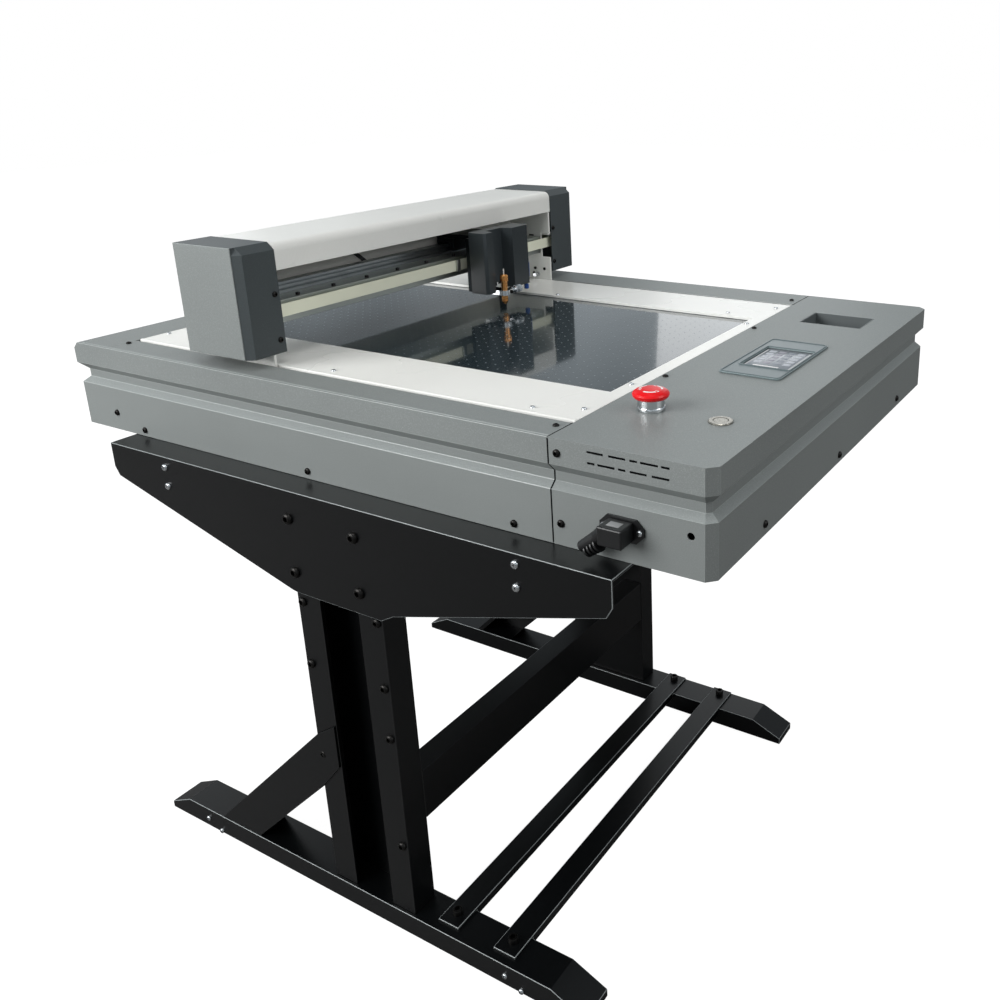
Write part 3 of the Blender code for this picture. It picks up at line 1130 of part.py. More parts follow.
# ---- carriage ----------------------------------------------------------------------------
def make_carriage(carriage):
    """The bearing block on the beam's rail, and the plate that it carries."""
    rail_foot = DECK + BEAM_HIGH + GAP
    block_high = rail_foot + 0.024
    block = box(around(Y_RAIL_X, BLOCK_WIDTH / 2), around(CARRIAGE_MID, 0.028),
                (rail_foot + BLOCK_FOOT, block_high))
    cut(block, box(around(Y_RAIL_X, RAIL_WIDTH / 2 + BLOCK_PLAY), around(CARRIAGE_MID, 0.040),
                   (rail_foot - 0.01, rail_foot + RAIL_HEIGHT + BLOCK_PLAY)))

    face = HOUSING_X[0] - GAP
    plate_x = (face - PLATE_THICK, face)
    bracket_z = (block_high - 0.0005, block_high + PLATE_THICK)
    plate = box(plate_x, CARRIAGE_Y, (DECK + HOUSING_LOW + 0.002, bracket_z[1]))
    bracket = box((Y_RAIL_X - BLOCK_WIDTH / 2, face - 0.001), around(CARRIAGE_MID, 0.030), bracket_z)
    grip = around(CARRIAGE_MID, 0.025)
    belt_z = (DECK + Y_BELT_LOW, DECK + Y_BELT_LOW + Y_BELT_WIDTH)
    back = BELT_OUT - BELT_THICK - GAP
    beam_gap = BEAM_X[1] + 0.0015
    outer_jaw = box((BELT_OUT + GAP, face - 0.001), grip, (belt_z[0] - 0.003, belt_z[1] + 0.001))
    link = box((beam_gap, face - 0.001), grip, (belt_z[1] + GAP, belt_z[1] + 0.004))
    inner_jaw = box((beam_gap, back), grip, (belt_z[0] + 0.002, belt_z[1] + 0.002))
    join(plate, bracket, block, outer_jaw, link, inner_jaw)
    part(plate, "carriage_plate", "aluminium", carriage)


def make_housing(carriage):
    """The carriage's moulded cover, with the recess that the tool stands in."""
    front, back = HOUSING_X[1], HOUSING_X[0]
    chamfer = 0.004
    south, north = CARRIAGE_Y
    deep = front - RECESS_DEPTH
    slope = 0.006
    outline = [(back, south), (front - chamfer, south), (front, south + chamfer),
               (front, RECESS_Y[0] - slope), (deep, RECESS_Y[0]), (deep, RECESS_Y[1]),
               (front, RECESS_Y[1] + slope), (front, north - chamfer), (front - chamfer, north),
               (back, north)]
    low, high = DECK + HOUSING_LOW, DECK + HOUSING_HIGH
    rings = [[(x, y, z) for x, y in outline] for z in (low, high)]
    inside = (deep - 0.006, CARRIAGE_MID, (low + high) / 2)
    shell = thicken(loft(rings, inside, closed=False, fill_last=True), SHEET)
    cut(shell, box((deep - 0.006, front + 0.001), wider(RECESS_Y, -0.0005),
                   (low - 0.001, low + 0.010)))
    part(shell, "carriage_housing", "dark_charcoal", carriage)


def make_tool(tool):
    """The clamp on its slide, the brass blade holder with its blade and pin, and the screw."""
    clamp_z = (DECK + CLAMP_LOW, DECK + CLAMP_LOW + CLAMP_HEIGHT)
    slide_x = (HOUSING_X[0] + GAP, HOUSING_X[0] + 0.006)
    ring = rod("Z", (TOOL_X, TOOL_Y, 0), clamp_z, CLAMP_RADIUS, 40)
    arm = box((slide_x[0], TOOL_X - 0.003), (TOOL_Y - 0.005, TOOL_Y + 0.012), clamp_z)
    slide = box(slide_x, (TOOL_Y - 0.005, TOOL_Y + 0.025), (clamp_z[0], DECK + 0.085))
    boss = box(around(TOOL_X, 0.0055), (TOOL_Y + 0.004, TOOL_Y + 0.013), clamp_z)
    join(ring, arm, slide, boss)
    screw_z = sum(clamp_z) / 2
    cut(ring, rod("Z", (TOOL_X, TOOL_Y, 0), wider(clamp_z), HOLDER_BODY + GAP),
        rod("Y", (TOOL_X, 0, screw_z), (TOOL_Y, TOOL_Y + 0.020), SCREW_RADIUS + GAP, 24))
    part(ring, "tool_clamp", "aluminium", tool)

    nose = TOOL_TIP
    body = HOLDER_BODY
    bore = BLADE_RADIUS + GAP
    holder = turned("Z", (TOOL_X, TOOL_Y, DECK), [
        (bore, 0.0485), (0.0042, 0.0485), (HOLDER_CAP, 0.0470), (HOLDER_CAP, 0.0400),
        (HOLDER_FLANGE, 0.0398), (HOLDER_FLANGE, 0.0380), (body, 0.0376), (body, nose + 0.0040),
        (0.0030, nose), (bore, nose)])
    part(holder, "blade_holder", "brass", tool)
    blade = turned("Z", (TOOL_X, TOOL_Y, DECK), [
        (0.0, 0.0300), (BLADE_RADIUS, 0.0300), (BLADE_RADIUS, nose + 0.0005), (0.0, nose - 0.0012)],
        sides=16)
    part(blade, "blade", "steel", tool)
    pin = turned("Z", (TOOL_X, TOOL_Y, DECK), [
        (0.0, 0.0570), (PIN_RADIUS, 0.0566), (PIN_RADIUS, 0.0300 + GAP), (0.0, 0.0300 + GAP)], sides=16)
    part(pin, "ejector_pin", "white_plastic", tool)

    pivot = add_pivot("thumb_screw_axis", (TOOL_X, TOOL_Y, screw_z), tool)
    tip = body + GAP + 0.0002
    screw = turned("Y", (TOOL_X, TOOL_Y, screw_z), [
        (0.0, 0.0390), (0.0048, 0.0390), (0.0052, 0.0384), (0.0052, 0.0240), (0.0035, 0.0230),
        (0.0035, 0.0160), (0.0055, 0.0158), (0.0055, 0.0134), (SCREW_RADIUS, 0.0132),
        (SCREW_RADIUS, tip), (0.0, tip)], sides=24)
    part(screw, "thumb_screw", "chrome", pivot)


make_casings()
make_base_pan()
make_deck_covers()
make_table()
make_fan()
make_electronics()
make_x_drive()
make_estop()
make_button()
make_touch_panel()
make_pocket()
make_inlet()
make_feet()
make_posts()
make_arms()
make_braces()
make_ties()
gantry_pivot = add_pivot("gantry_slide", (GANTRY_X, 0.0, DECK))
make_end_caps(gantry_pivot)
make_gantry_cover(gantry_pivot)
make_legs(gantry_pivot)
make_beam(gantry_pivot)
make_y_drive(gantry_pivot)
carriage_pivot = add_pivot("carriage_slide", (Y_RAIL_X, CARRIAGE_MID, DECK), gantry_pivot)
make_carriage(carriage_pivot)
make_housing(carriage_pivot)
tool_pivot = add_pivot("tool_lift", (TOOL_X, TOOL_Y, DECK), carriage_pivot)
make_tool(tool_pivot)
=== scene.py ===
import math

import bmesh
import bpy
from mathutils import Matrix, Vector


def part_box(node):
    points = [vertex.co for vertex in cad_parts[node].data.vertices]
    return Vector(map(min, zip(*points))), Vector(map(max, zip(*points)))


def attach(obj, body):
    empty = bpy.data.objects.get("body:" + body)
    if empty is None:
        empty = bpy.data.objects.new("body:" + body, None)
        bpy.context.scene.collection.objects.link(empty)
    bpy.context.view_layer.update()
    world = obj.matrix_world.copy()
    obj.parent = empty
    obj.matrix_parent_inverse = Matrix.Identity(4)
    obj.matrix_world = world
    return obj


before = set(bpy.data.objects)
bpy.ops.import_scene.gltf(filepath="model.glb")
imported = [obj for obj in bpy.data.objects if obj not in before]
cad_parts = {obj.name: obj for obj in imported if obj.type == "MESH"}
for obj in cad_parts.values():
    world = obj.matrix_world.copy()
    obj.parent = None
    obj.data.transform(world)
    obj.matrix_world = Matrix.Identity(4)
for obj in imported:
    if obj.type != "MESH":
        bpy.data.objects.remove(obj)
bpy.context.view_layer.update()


# Camera: a little above the deck, in front of the bay with the controls. A longish lens, level
# except for a slight lean, with the frame shifted so that the whole machine stands in it.
lens_data = bpy.data.cameras.new("camera")
lens_data.sensor_width = 36
lens_data.lens = 35.4
lens_data.shift_x = -0.1499
lens_data.shift_y = -0.1101
camera = bpy.data.objects.new("camera", lens_data)
camera.location = (0.8450, -1.0631, 1.0500)
camera.rotation_euler = [math.radians(turn) for turn in (72.052, 0.882, 29.879)]
bpy.context.collection.objects.link(camera)
bpy.context.scene.camera = camera
bpy.context.scene.view_settings.view_transform = "Standard"


# Studio: a pale floor that keeps the machine's shadow, a white surround, one large soft lamp at
# the front left and above, weaker ones overhead and at the right, and tall lamps behind for the
# gloss to pick up.
def linear(code):
    """An sRGB hex colour as the linear values that the nodes work in."""
    channels = [int(code[place:place + 2], 16) / 255 for place in (1, 3, 5)]
    return [c / 12.92 if c <= 0.04045 else ((c + 0.055) / 1.055) ** 2.4 for c in channels] + [1.0]


def add_node(tree, kind, inputs=(), **settings):
    """Adds a node, with its settings, its inputs' values, and its links from other sockets."""
    node = tree.nodes.new(kind)
    for name, value in settings.items():
        setattr(node, name, value)
    for name, value in dict(inputs).items():
        if isinstance(value, bpy.types.NodeSocket):
            tree.links.new(value, node.inputs[name])
        else:
            node.inputs[name].default_value = value
    return node


def blank_material(name):
    """A named material with an empty node tree and its output."""
    material = bpy.data.materials.new(name)
    material.use_nodes = True
    material.node_tree.nodes.clear()
    return material, material.node_tree


floor_paper, tree = blank_material("studio_paper")
rays = add_node(tree, "ShaderNodeLightPath")
paper = add_node(tree, "ShaderNodeBsdfDiffuse", {"Color": linear("#808080")})
shine = add_node(tree, "ShaderNodeEmission", {"Color": linear("#FFFFFF"), "Strength": 0.97})
both = add_node(tree, "ShaderNodeAddShader", {0: paper.outputs[0], 1: shine.outputs[0]})
pick = add_node(tree, "ShaderNodeMixShader", {0: rays.outputs["Is Camera Ray"],
                                              1: paper.outputs[0], 2: both.outputs[0]})
add_node(tree, "ShaderNodeOutputMaterial", {"Surface": pick.outputs[0]})

floor_mesh = bpy.data.meshes.new("studio_floor")
floor_half = 12
floor_mesh.from_pydata([(x * floor_half, y * floor_half, -0.0005)
                        for x, y in ((-1, -1), (1, -1), (1, 1), (-1, 1))], [], [(0, 1, 2, 3)])
floor_mesh.materials.append(floor_paper)
floor = bpy.data.objects.new("studio_floor", floor_mesh)
bpy.context.collection.objects.link(floor)

# the least light that comes from every side, and the range of grey that gloss mirrors
AMBIENT = 0.20
HALL_GREYS = (0.25, 0.85)
world = bpy.data.worlds.new("studio_surround")
world.use_nodes = True
world.node_tree.nodes.clear()
tree = world.node_tree
rays = add_node(tree, "ShaderNodeLightPath")
seen = add_node(tree, "ShaderNodeMath", {0: rays.outputs["Is Camera Ray"],
                                         1: rays.outputs["Is Transmission Ray"]},
                operation="MAXIMUM")
# what gloss sees is a hall: paler and darker areas in soft patches
way = add_node(tree, "ShaderNodeTexCoord").outputs["Generated"]
patches = add_node(tree, "ShaderNodeTexNoise", {"Vector": way, "Scale": 2.6, "Detail": 2.0})
hall = add_node(tree, "ShaderNodeMapRange", {"Value": patches.outputs["Fac"], "From Min": 0.38,
                                             "From Max": 0.62, "To Min": HALL_GREYS[0],
                                             "To Max": HALL_GREYS[1]})
mirrored = add_node(tree, "ShaderNodeMath", {0: rays.outputs["Is Glossy Ray"],
                                             1: hall.outputs["Result"]}, operation="MULTIPLY")
strength = add_node(tree, "ShaderNodeMath", {0: seen.outputs[0], 1: mirrored.outputs[0]},
                    operation="MAXIMUM")
ambient = add_node(tree, "ShaderNodeMath", {0: strength.outputs[0], 1: AMBIENT},
                   operation="MAXIMUM")
tint = add_node(tree, "ShaderNodeMix", {0: rays.outputs["Is Glossy Ray"],
                                        6: linear("#FFFFFF"), 7: linear("#E4EEF4")},
                data_type="RGBA")
surround = add_node(tree, "ShaderNodeBackground", {"Color": tint.outputs[2],
                                                   "Strength": ambient.outputs[0]})
add_node(tree, "ShaderNodeOutputWorld", {"Surface": surround.outputs[0]})
bpy.context.scene.world = world

LAMPS = (
    # name, place, aim, width, height, watts
    ("front_lamp", (-1.5, -2.7, 2.0), (-0.1, 0.0, 0.6), 2.2, 1.8, 121),
    ("top_lamp", (0.6, -0.7, 3.0), (0.0, 0.0, 0.7), 1.1, 1.1, 15),
    ("right_lamp", (2.6, 0.2, 2.2), (-0.2, 0.0, 0.8), 1.4, 1.4, 25),
    ("window_left", (-3.4, 1.6, 1.9), (0.0, 0.0, 0.7), 1.1, 2.2, 5),
    ("window_right", (-1.2, 3.6, 1.9), (0.0, 0.0, 0.7), 1.1, 2.2, 7),
)
for name, place, aim, width, height, watts in LAMPS:
    lamp_data = bpy.data.lights.new(name, "AREA")
    lamp_data.shape = "RECTANGLE"
    lamp_data.size = width
    lamp_data.size_y = height
    lamp_data.energy = watts
    lamp = bpy.data.objects.new(name, lamp_data)
    lamp.location = place
    lamp.rotation_euler = (Vector(aim) - Vector(place)).to_track_quat("-Z", "Y").to_euler()
    bpy.context.collection.objects.link(lamp)


# Stand: two arm plates folded from sheet, two lipped posts, braces, a beam between the posts, and
# two long feet joined by flat bars. Steel, welded and bolted, under a satin black powder coat.
def paint(material, *nodes):
    """Gives CAD nodes a material."""
    for node in nodes:
        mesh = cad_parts[node].data
        mesh.materials.clear()
        mesh.materials.append(material)


EDGE_ANGLE = 40        # degrees: a sharper turn than this counts as an edge


def ease_edges(width, edge_paint, *nodes):
    """Rounds the edges of CAD nodes; a lighter edge paint on them is a painted highlight."""
    for node in nodes:
        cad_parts[node].data.materials.append(edge_paint)
        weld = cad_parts[node].modifiers.new("weld", "WELD")
        weld.merge_threshold = 0.00001
        round_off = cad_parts[node].modifiers.new("round_off", "BEVEL")
        round_off.width = width
        round_off.segments = 2
        round_off.limit_method = "ANGLE"
        round_off.angle_limit = math.radians(EDGE_ANGLE)
        round_off.harden_normals = True
        round_off.use_clamp_overlap = True
        round_off.material = len(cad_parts[node].data.materials) - 1


def powder_coat(name, colour, fleck, fleck_share, grain_mm, roughness, gloss=0.5, skin=0.15,
                sparkle=0.0):
    """Baked powder paint: small orange peel, and flecks lighter than the ground colour."""
    material, tree = blank_material(name)
    place = add_node(tree, "ShaderNodeTexCoord").outputs["Object"]
    flecks = add_node(tree, "ShaderNodeTexNoise",
                      {"Vector": place, "Scale": 1000 / grain_mm, "Detail": 1.0})
    share = add_node(tree, "ShaderNodeMapRange",
                     {"Value": flecks.outputs["Fac"], "From Min": 0.52, "From Max": 0.72,
                      "To Min": 0.0, "To Max": fleck_share})
    cloud = add_node(tree, "ShaderNodeTexNoise", {"Vector": place, "Scale": 4.0, "Detail": 3.0})
    shade = add_node(tree, "ShaderNodeMapRange", {"Value": cloud.outputs["Fac"],
                                                  "To Min": 0.90, "To Max": 1.10})
    ground = add_node(tree, "ShaderNodeMix", {0: 1.0, 6: linear(colour),
                                              7: shade.outputs["Result"]},
                      data_type="RGBA", blend_type="MULTIPLY")
    flecked = add_node(tree, "ShaderNodeMix", {0: share.outputs["Result"],
                                               6: ground.outputs[2], 7: linear(fleck)},
                       data_type="RGBA")
    dull = add_node(tree, "ShaderNodeMapRange", {"Value": cloud.outputs["Fac"],
                                                 "To Min": roughness - 0.05,
                                                 "To Max": roughness + 0.05})
    peel = add_node(tree, "ShaderNodeTexNoise", {"Vector": place, "Scale": 900.0, "Detail": 2.0})
    relief = add_node(tree, "ShaderNodeBump", {"Height": peel.outputs["Fac"], "Strength": 0.18,
                                               "Distance": 0.0002})
    coat = add_node(tree, "ShaderNodeBsdfPrincipled",
                    {"Base Color": flecked.outputs[2], "Roughness": dull.outputs["Result"],
                     "Specular IOR Level": gloss, "Coat Weight": skin, "Coat Roughness": 0.22,
                     "Metallic": sparkle, "Normal": relief.outputs["Normal"]})
    add_node(tree, "ShaderNodeOutputMaterial", {"Surface": coat.outputs[0]})
    return material


# Satin black powder coat: near black, a soft broad sheen, hardly any grain.
black_coat = powder_coat("satin_black_powder_coat", "#030405", "#0B0D0F", 0.3, 1.2, 0.33, 0.28,
                         skin=0.08)
# Painted highlight on rounded edges: faint on posts, braces and beam, bright on plates, feet and
# bars.
black_edge = powder_coat("black_edge_faint_painted_highlight", "#0E1011", "#16191A", 0.5, 1.0, 0.30)
highlight_edge_paint = powder_coat("black_edge_painted_highlight", "#8C9293", "#B0B6B7", 0.5, 1.0, 0.30)
STAND = ("near_foot", "far_foot", "near_post", "far_post", "near_arm_plate", "far_arm_plate",
         "near_brace", "far_brace", "cross_beam", "foot_bar_left", "foot_bar_right")
paint(black_coat, *STAND)
# parts whose rounded edges get the bright painted highlight
HIGHLIT_EDGE_PARTS = ("near_arm_plate", "far_arm_plate", "near_foot", "far_foot", "foot_bar_left",
          "foot_bar_right")
ease_edges(0.0007, highlight_edge_paint, *HIGHLIT_EDGE_PARTS)
ease_edges(0.0009, black_edge, *(node for node in STAND if node not in HIGHLIT_EDGE_PARTS))


def metal(name, colour, roughness, grain_mm=1.0, along=(1, 1, 1), uneven=0.06, relief_mm=0.01):
    """A bare or plated metal: its tint, its polish, and the fine marks its finishing leaves."""
    material, tree = blank_material(name)
    place = add_node(tree, "ShaderNodeTexCoord").outputs["Object"]
    drawn = add_node(tree, "ShaderNodeMapping", {"Vector": place, "Scale": along})
    marks = add_node(tree, "ShaderNodeTexNoise", {"Vector": drawn.outputs[0],
                                                  "Scale": 1000 / grain_mm, "Detail": 2.0})
    dull = add_node(tree, "ShaderNodeMapRange", {"Value": marks.outputs["Fac"],
                                                 "To Min": max(roughness - uneven, 0.02),
                                                 "To Max": roughness + uneven})
    tone = add_node(tree, "ShaderNodeMapRange", {"Value": marks.outputs["Fac"],
                                                 "To Min": 0.94, "To Max": 1.04})
    tint = add_node(tree, "ShaderNodeMix", {0: 1.0, 6: linear(colour), 7: tone.outputs["Result"]},
                    data_type="RGBA", blend_type="MULTIPLY")
    relief = add_node(tree, "ShaderNodeBump", {"Height": marks.outputs["Fac"], "Strength": 0.3,
                                               "Distance": relief_mm / 1000})
    surface = add_node(tree, "ShaderNodeBsdfPrincipled",
                       {"Base Color": tint.outputs[2], "Metallic": 1.0,
                        "Roughness": dull.outputs["Result"], "Normal": relief.outputs["Normal"]})
    add_node(tree, "ShaderNodeOutputMaterial", {"Surface": surface.outputs[0]})
    return material


# Black oxide on steel: a dark, slightly brown metal with a dull shine.
black_oxide = metal("black_oxide_steel", "#2B2A29", 0.38)
# Bright zinc plate on steel: the silver of small screws.
bright_zinc = metal("bright_zinc_plate", "#C9CCCE", 0.24)


def ring_of(radius, height, shape, steps=24):
    """One level of a turned shape: round, six-sided for a hex key, or crossed for a driver."""
    points = []
    for step in range(steps):
        angle = math.tau * step / steps
        reach = radius
        if shape == "hex":
            reach = radius * math.cos(math.pi / 6) / math.cos((angle + math.pi / 6)
                                                              % (math.pi / 3) - math.pi / 6)
        if shape == "cross":
            off_arm = abs((angle + math.pi / 4) % (math.pi / 2) - math.pi / 4)
            reach = radius if off_arm < math.radians(14) else radius * 0.38
        points.append((reach * math.cos(angle), reach * math.sin(angle), height))
    return points


def lofted(rings):
    """A closed shell through rings of equal length, with both ends shut by a face."""
    shell = bmesh.new()
    levels = [[shell.verts.new(point) for point in ring] for ring in rings]
    count = len(rings[0])
    for low, high in zip(levels, levels[1:]):
        for step in range(count):
            after = (step + 1) % count
            shell.faces.new((low[step], low[after], high[after], high[step]))
    shell.faces.new(levels[0][::-1])
    shell.faces.new(levels[-1])
    bmesh.ops.recalc_face_normals(shell, faces=shell.faces)
    return shell


def turned(profile, steps=24):
    """A lathe-turned shape up +Z from (radius, height) or (radius, height, shape) levels."""
    return lofted([ring_of(level[0], level[1], level[2] if len(level) > 2 else "round", steps)
                   for level in profile])


def stand_on(shell, foot, facing):
    """Turns a shape made up +Z to face another way, and puts its foot in place."""
    turn = Vector(facing).to_track_quat("Z", "Y").to_matrix().to_4x4()
    bmesh.ops.transform(shell, matrix=turn, verts=shell.verts)
    bmesh.ops.translate(shell, vec=foot, verts=shell.verts)
    return shell


def piece(name, shells, material, body, crease=35):
    """Joins shells into one finished piece, with its shading, material and body."""
    mesh = bpy.data.meshes.new(name)
    whole = bmesh.new()
    for shell in shells:
        part_mesh = bpy.data.meshes.new("shell")
        shell.to_mesh(part_mesh)
        shell.free()
        whole.from_mesh(part_mesh)
        bpy.data.meshes.remove(part_mesh)
    whole.to_mesh(mesh)
    whole.free()
    return settle(name, mesh, material, body, crease)


def settle(name, mesh, material, body, crease=35):
    """Makes the object of a finished mesh and sets what it rides on."""
    mesh.shade_smooth()
    mesh.set_sharp_from_angle(angle=math.radians(crease))
    mesh.materials.clear()
    mesh.materials.append(material)
    made = bpy.data.objects.new(name, mesh)
    bpy.context.collection.objects.link(made)
    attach(made, body)
    return made


def new_tree(name, made, **inputs):
    """A geometry node tree with named inputs of given kinds, and one output."""
    tree = bpy.data.node_groups.new(name, "GeometryNodeTree")
    for label, kind in inputs.items():
        tree.interface.new_socket(label.replace("_", " "), in_out="INPUT",
                                  socket_type="NodeSocket" + kind)
    tree.interface.new_socket(made, in_out="OUTPUT", socket_type="NodeSocketGeometry")
    return tree, add_node(tree, "NodeGroupInput")


head_tree, given = new_tree("heads_on_points", "Set heads", Points="Geometry", Head="Object",
                            Head_size="Float", Finish="Material")
facing = add_node(head_tree, "GeometryNodeInputNamedAttribute", {"Name": "facing"},
                  data_type="FLOAT_VECTOR")
turn = add_node(head_tree, "FunctionNodeAlignRotationToVector",
                {"Vector": facing.outputs["Attribute"]}, axis="Z")
head = add_node(head_tree, "GeometryNodeObjectInfo", {"Object": given.outputs["Head"]})
spread = add_node(head_tree, "GeometryNodeInstanceOnPoints",
                  {"Points": given.outputs["Points"], "Instance": head.outputs["Geometry"],
                   "Rotation": turn.outputs["Rotation"], "Scale": given.outputs["Head size"]})
real = add_node(head_tree, "GeometryNodeRealizeInstances",
                {"Geometry": spread.outputs["Instances"]})
coated = add_node(head_tree, "GeometryNodeSetMaterial",
                  {"Geometry": real.outputs["Geometry"], "Material": given.outputs["Finish"]})
add_node(head_tree, "NodeGroupOutput", {"Set heads": coated.outputs["Geometry"]})


def grown(name, mesh, node_tree, values):
    """Runs a geometry node tree on a mesh and returns the plain mesh that it makes."""
    seed = bpy.data.objects.new(name + "_seed", mesh)
    bpy.context.collection.objects.link(seed)
    grow = seed.modifiers.new("grow", "NODES")
    grow.node_group = node_tree
    for socket in node_tree.interface.items_tree:
        if socket.in_out == "INPUT" and socket.name in values:
            grow[socket.identifier] = values[socket.name]
    plain = bpy.data.meshes.new_from_object(
        seed.evaluated_get(bpy.context.evaluated_depsgraph_get()))
    bpy.data.objects.remove(seed)
    return plain


# Screw heads, one unit across: a domed socket head, a pan head with a crossed recess, and a tall
# socket cap head.
HEADS = {
    "button": ((0.50, -0.02), (0.50, 0.10), (0.46, 0.21), (0.37, 0.29), (0.27, 0.33),
               (0.25, 0.32, "hex"), (0.23, 0.10, "hex")),
    "pan": ((0.50, -0.02), (0.50, 0.12), (0.45, 0.24), (0.36, 0.31), (0.30, 0.33),
            (0.26, 0.335, "cross"), (0.16, 0.14, "cross")),
    "cap": ((0.50, -0.02), (0.50, 0.52), (0.46, 0.58), (0.33, 0.60),
            (0.30, 0.59, "hex"), (0.28, 0.30, "hex")),
}


def seat(node, start, way):
    """Where a straight line from a point first meets a CAD node, and the way out of it."""
    met, place, _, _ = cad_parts[node].ray_cast(Vector(start), Vector(way))
    if not met:
        raise ValueError(f"no surface of {node} from {tuple(start)}")
    return place, -Vector(way).normalized()


def fasteners(name, kind, width, seats, material, body):
    """Sets one kind of screw head on each seat and makes them one piece."""
    template_mesh = bpy.data.meshes.new("template")
    template_shell = turned(HEADS[kind])
    template_shell.to_mesh(template_mesh)
    template_shell.free()
    template = bpy.data.objects.new("template", template_mesh)
    bpy.context.collection.objects.link(template)
    points = bpy.data.meshes.new(name)
    points.from_pydata([place for place, _ in seats], [], [])
    ways = points.attributes.new("facing", "FLOAT_VECTOR", "POINT")
    ways.data.foreach_set("vector", [part for _, way in seats for part in way])
    mesh = grown(name, points, head_tree, {"Head": template, "Head size": width,
                                           "Finish": material})
    bpy.data.objects.remove(template)
    return settle(name, mesh, material, body)


MM = 0.001
BACK = (0, 1, 0)
FORWARD = (0, -1, 0)
DOWN = (0, 0, -1)
LEFT = (-1, 0, 0)
RIGHT = (1, 0, 0)
UP = (0, 0, 1)
APART = 0.02           # how far outside a surface the search for a seat on it starts

arm_low, arm_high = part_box("near_arm_plate")
# distance from the plate's left end and below its top edge
arm_seats = [(333, 36), (333, 106), (438, 36), (438, 106)]
plate_seats = [(111, 14), (111, 40), (666, 12), (666, 38)]
for side, front, way in (("near", arm_low.y - APART, BACK),
                         ("far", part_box("far_arm_plate")[1].y + APART, FORWARD)):
    node = f"{side}_arm_plate"
    fasteners(f"{side}_arm_bolts", "button", 0.0145,
              [seat(node, (arm_low.x + x * MM, front, arm_high.z - z * MM), way)
               for x, z in arm_seats], black_oxide, "root")
    fasteners(f"{side}_arm_screws", "pan", 0.0095,
              [seat(node, (arm_low.x + x * MM, front, arm_high.z - z * MM), way)
               for x, z in plate_seats], bright_zinc, "root")

# bolts through the posts' lips: distance from the left edge of the post and height
LIP_BOLTS = ((9, 448), (9, 362), (9, 229), (131, 454), (131, 366), (131, 296), (131, 138))
post_low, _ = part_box("near_post")
for side, front, way in (("near", post_low.y - APART, BACK),
                         ("far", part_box("far_post")[1].y + APART, FORWARD)):
    fasteners(f"{side}_post_bolts", "button", 0.0120,
              [seat(f"{side}_post", (post_low.x + x * MM, front, z * MM), way)
               for x, z in LIP_BOLTS], black_oxide, "root")

bar_seats = []
for bar in ("foot_bar_left", "foot_bar_right"):
    bar_low, bar_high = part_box(bar)
    for y in (bar_low.y + 0.0185, bar_high.y - 0.0135):
        bar_seats.append(seat(bar, ((bar_low.x + bar_high.x) / 2, y, bar_high.z + 0.05), DOWN))
fasteners("foot_bar_bolts", "cap", 0.0125, bar_seats, black_oxide, "root")

# small bright bolts that hold the levelling pads, through the front wall of the near foot
foot_low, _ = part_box("near_foot")
fasteners("near_foot_pad_screws", "button", 0.0075,
          [seat("near_foot", (foot_low.x + x * MM, foot_low.y - APART, z * MM), BACK)
           for x, z in ((84, 17), (111, 6), (629, 17), (653, 6))], bright_zinc, "root")


# Base pan, motor and boards inside the casing: folded galvanised sheet, a moulded fan, a stepper
# motor, a caged power supply and a green board with soldered parts.
galvanised = metal("galvanised_sheet", "#A4AAAC", 0.42, grain_mm=9, uneven=0.10, relief_mm=0.02)
paint(galvanised, "base_pan", "power_supply")
# Ground and drawn steel: fine marks along the bar.
drawn_steel = metal("drawn_steel", "#A2A5A7", 0.30, grain_mm=0.8, along=(1, 0.08, 1),
                    uneven=0.02, relief_mm=0.002)
paint(drawn_steel, "x_rail_front", "x_rail_rear", "drive_shaft", "x_idler_shaft", "y_rail")


def plastic(name, colour, roughness, grain_mm=0.5, relief_mm=0.02, gloss=0.5, coat=0.0):
    """Moulded plastic: its dye, and the fine spark-eroded texture or polish of its mould."""
    material, tree = blank_material(name)
    place = add_node(tree, "ShaderNodeTexCoord").outputs["Object"]
    texture = add_node(tree, "ShaderNodeTexNoise", {"Vector": place, "Scale": 1000 / grain_mm,
                                                    "Detail": 2.0})
    flow = add_node(tree, "ShaderNodeTexNoise", {"Vector": place, "Scale": 18.0, "Detail": 2.0})
    tone = add_node(tree, "ShaderNodeMapRange", {"Value": flow.outputs["Fac"],
                                                 "To Min": 0.93, "To Max": 1.07})
    dye = add_node(tree, "ShaderNodeMix", {0: 1.0, 6: linear(colour), 7: tone.outputs["Result"]},
                   data_type="RGBA", blend_type="MULTIPLY")
    dull = add_node(tree, "ShaderNodeMapRange", {"Value": flow.outputs["Fac"],
                                                 "To Min": roughness * 0.85,
                                                 "To Max": roughness * 1.15})
    relief = add_node(tree, "ShaderNodeBump", {"Height": texture.outputs["Fac"],
                                               "Strength": 0.25, "Distance": relief_mm / 1000})
    surface = add_node(tree, "ShaderNodeBsdfPrincipled",
                       {"Base Color": dye.outputs[2], "Roughness": dull.outputs["Result"],
                        "Specular IOR Level": gloss, "Coat Weight": coat,
                        "Normal": relief.outputs["Normal"]})
    add_node(tree, "ShaderNodeOutputMaterial", {"Surface": surface.outputs[0]})
    return material


# Glass-filled nylon, black: a dull skin with a fine even texture.
black_nylon = plastic("black_glass_filled_nylon", "#17191B", 0.45)
grey_nylon = plastic("grey_nylon", "#6E7376", 0.45)
# Polyurethane timing belt, pale green-cream, slightly translucent and waxy.
cream_belt = plastic("polyurethane_belt", "#ECEED9", 0.42, grain_mm=1.5)
# Solder mask over laminate.
board_green = plastic("green_solder_mask", "#1E5B3A", 0.35, grain_mm=2.0)
paint(black_nylon, "fan_housing", "x_motor")
paint(grey_nylon, "fan_rotor")
paint(cream_belt, "x_belt_front", "x_belt_rear", "y_belt")
paint(board_green, "main_board")


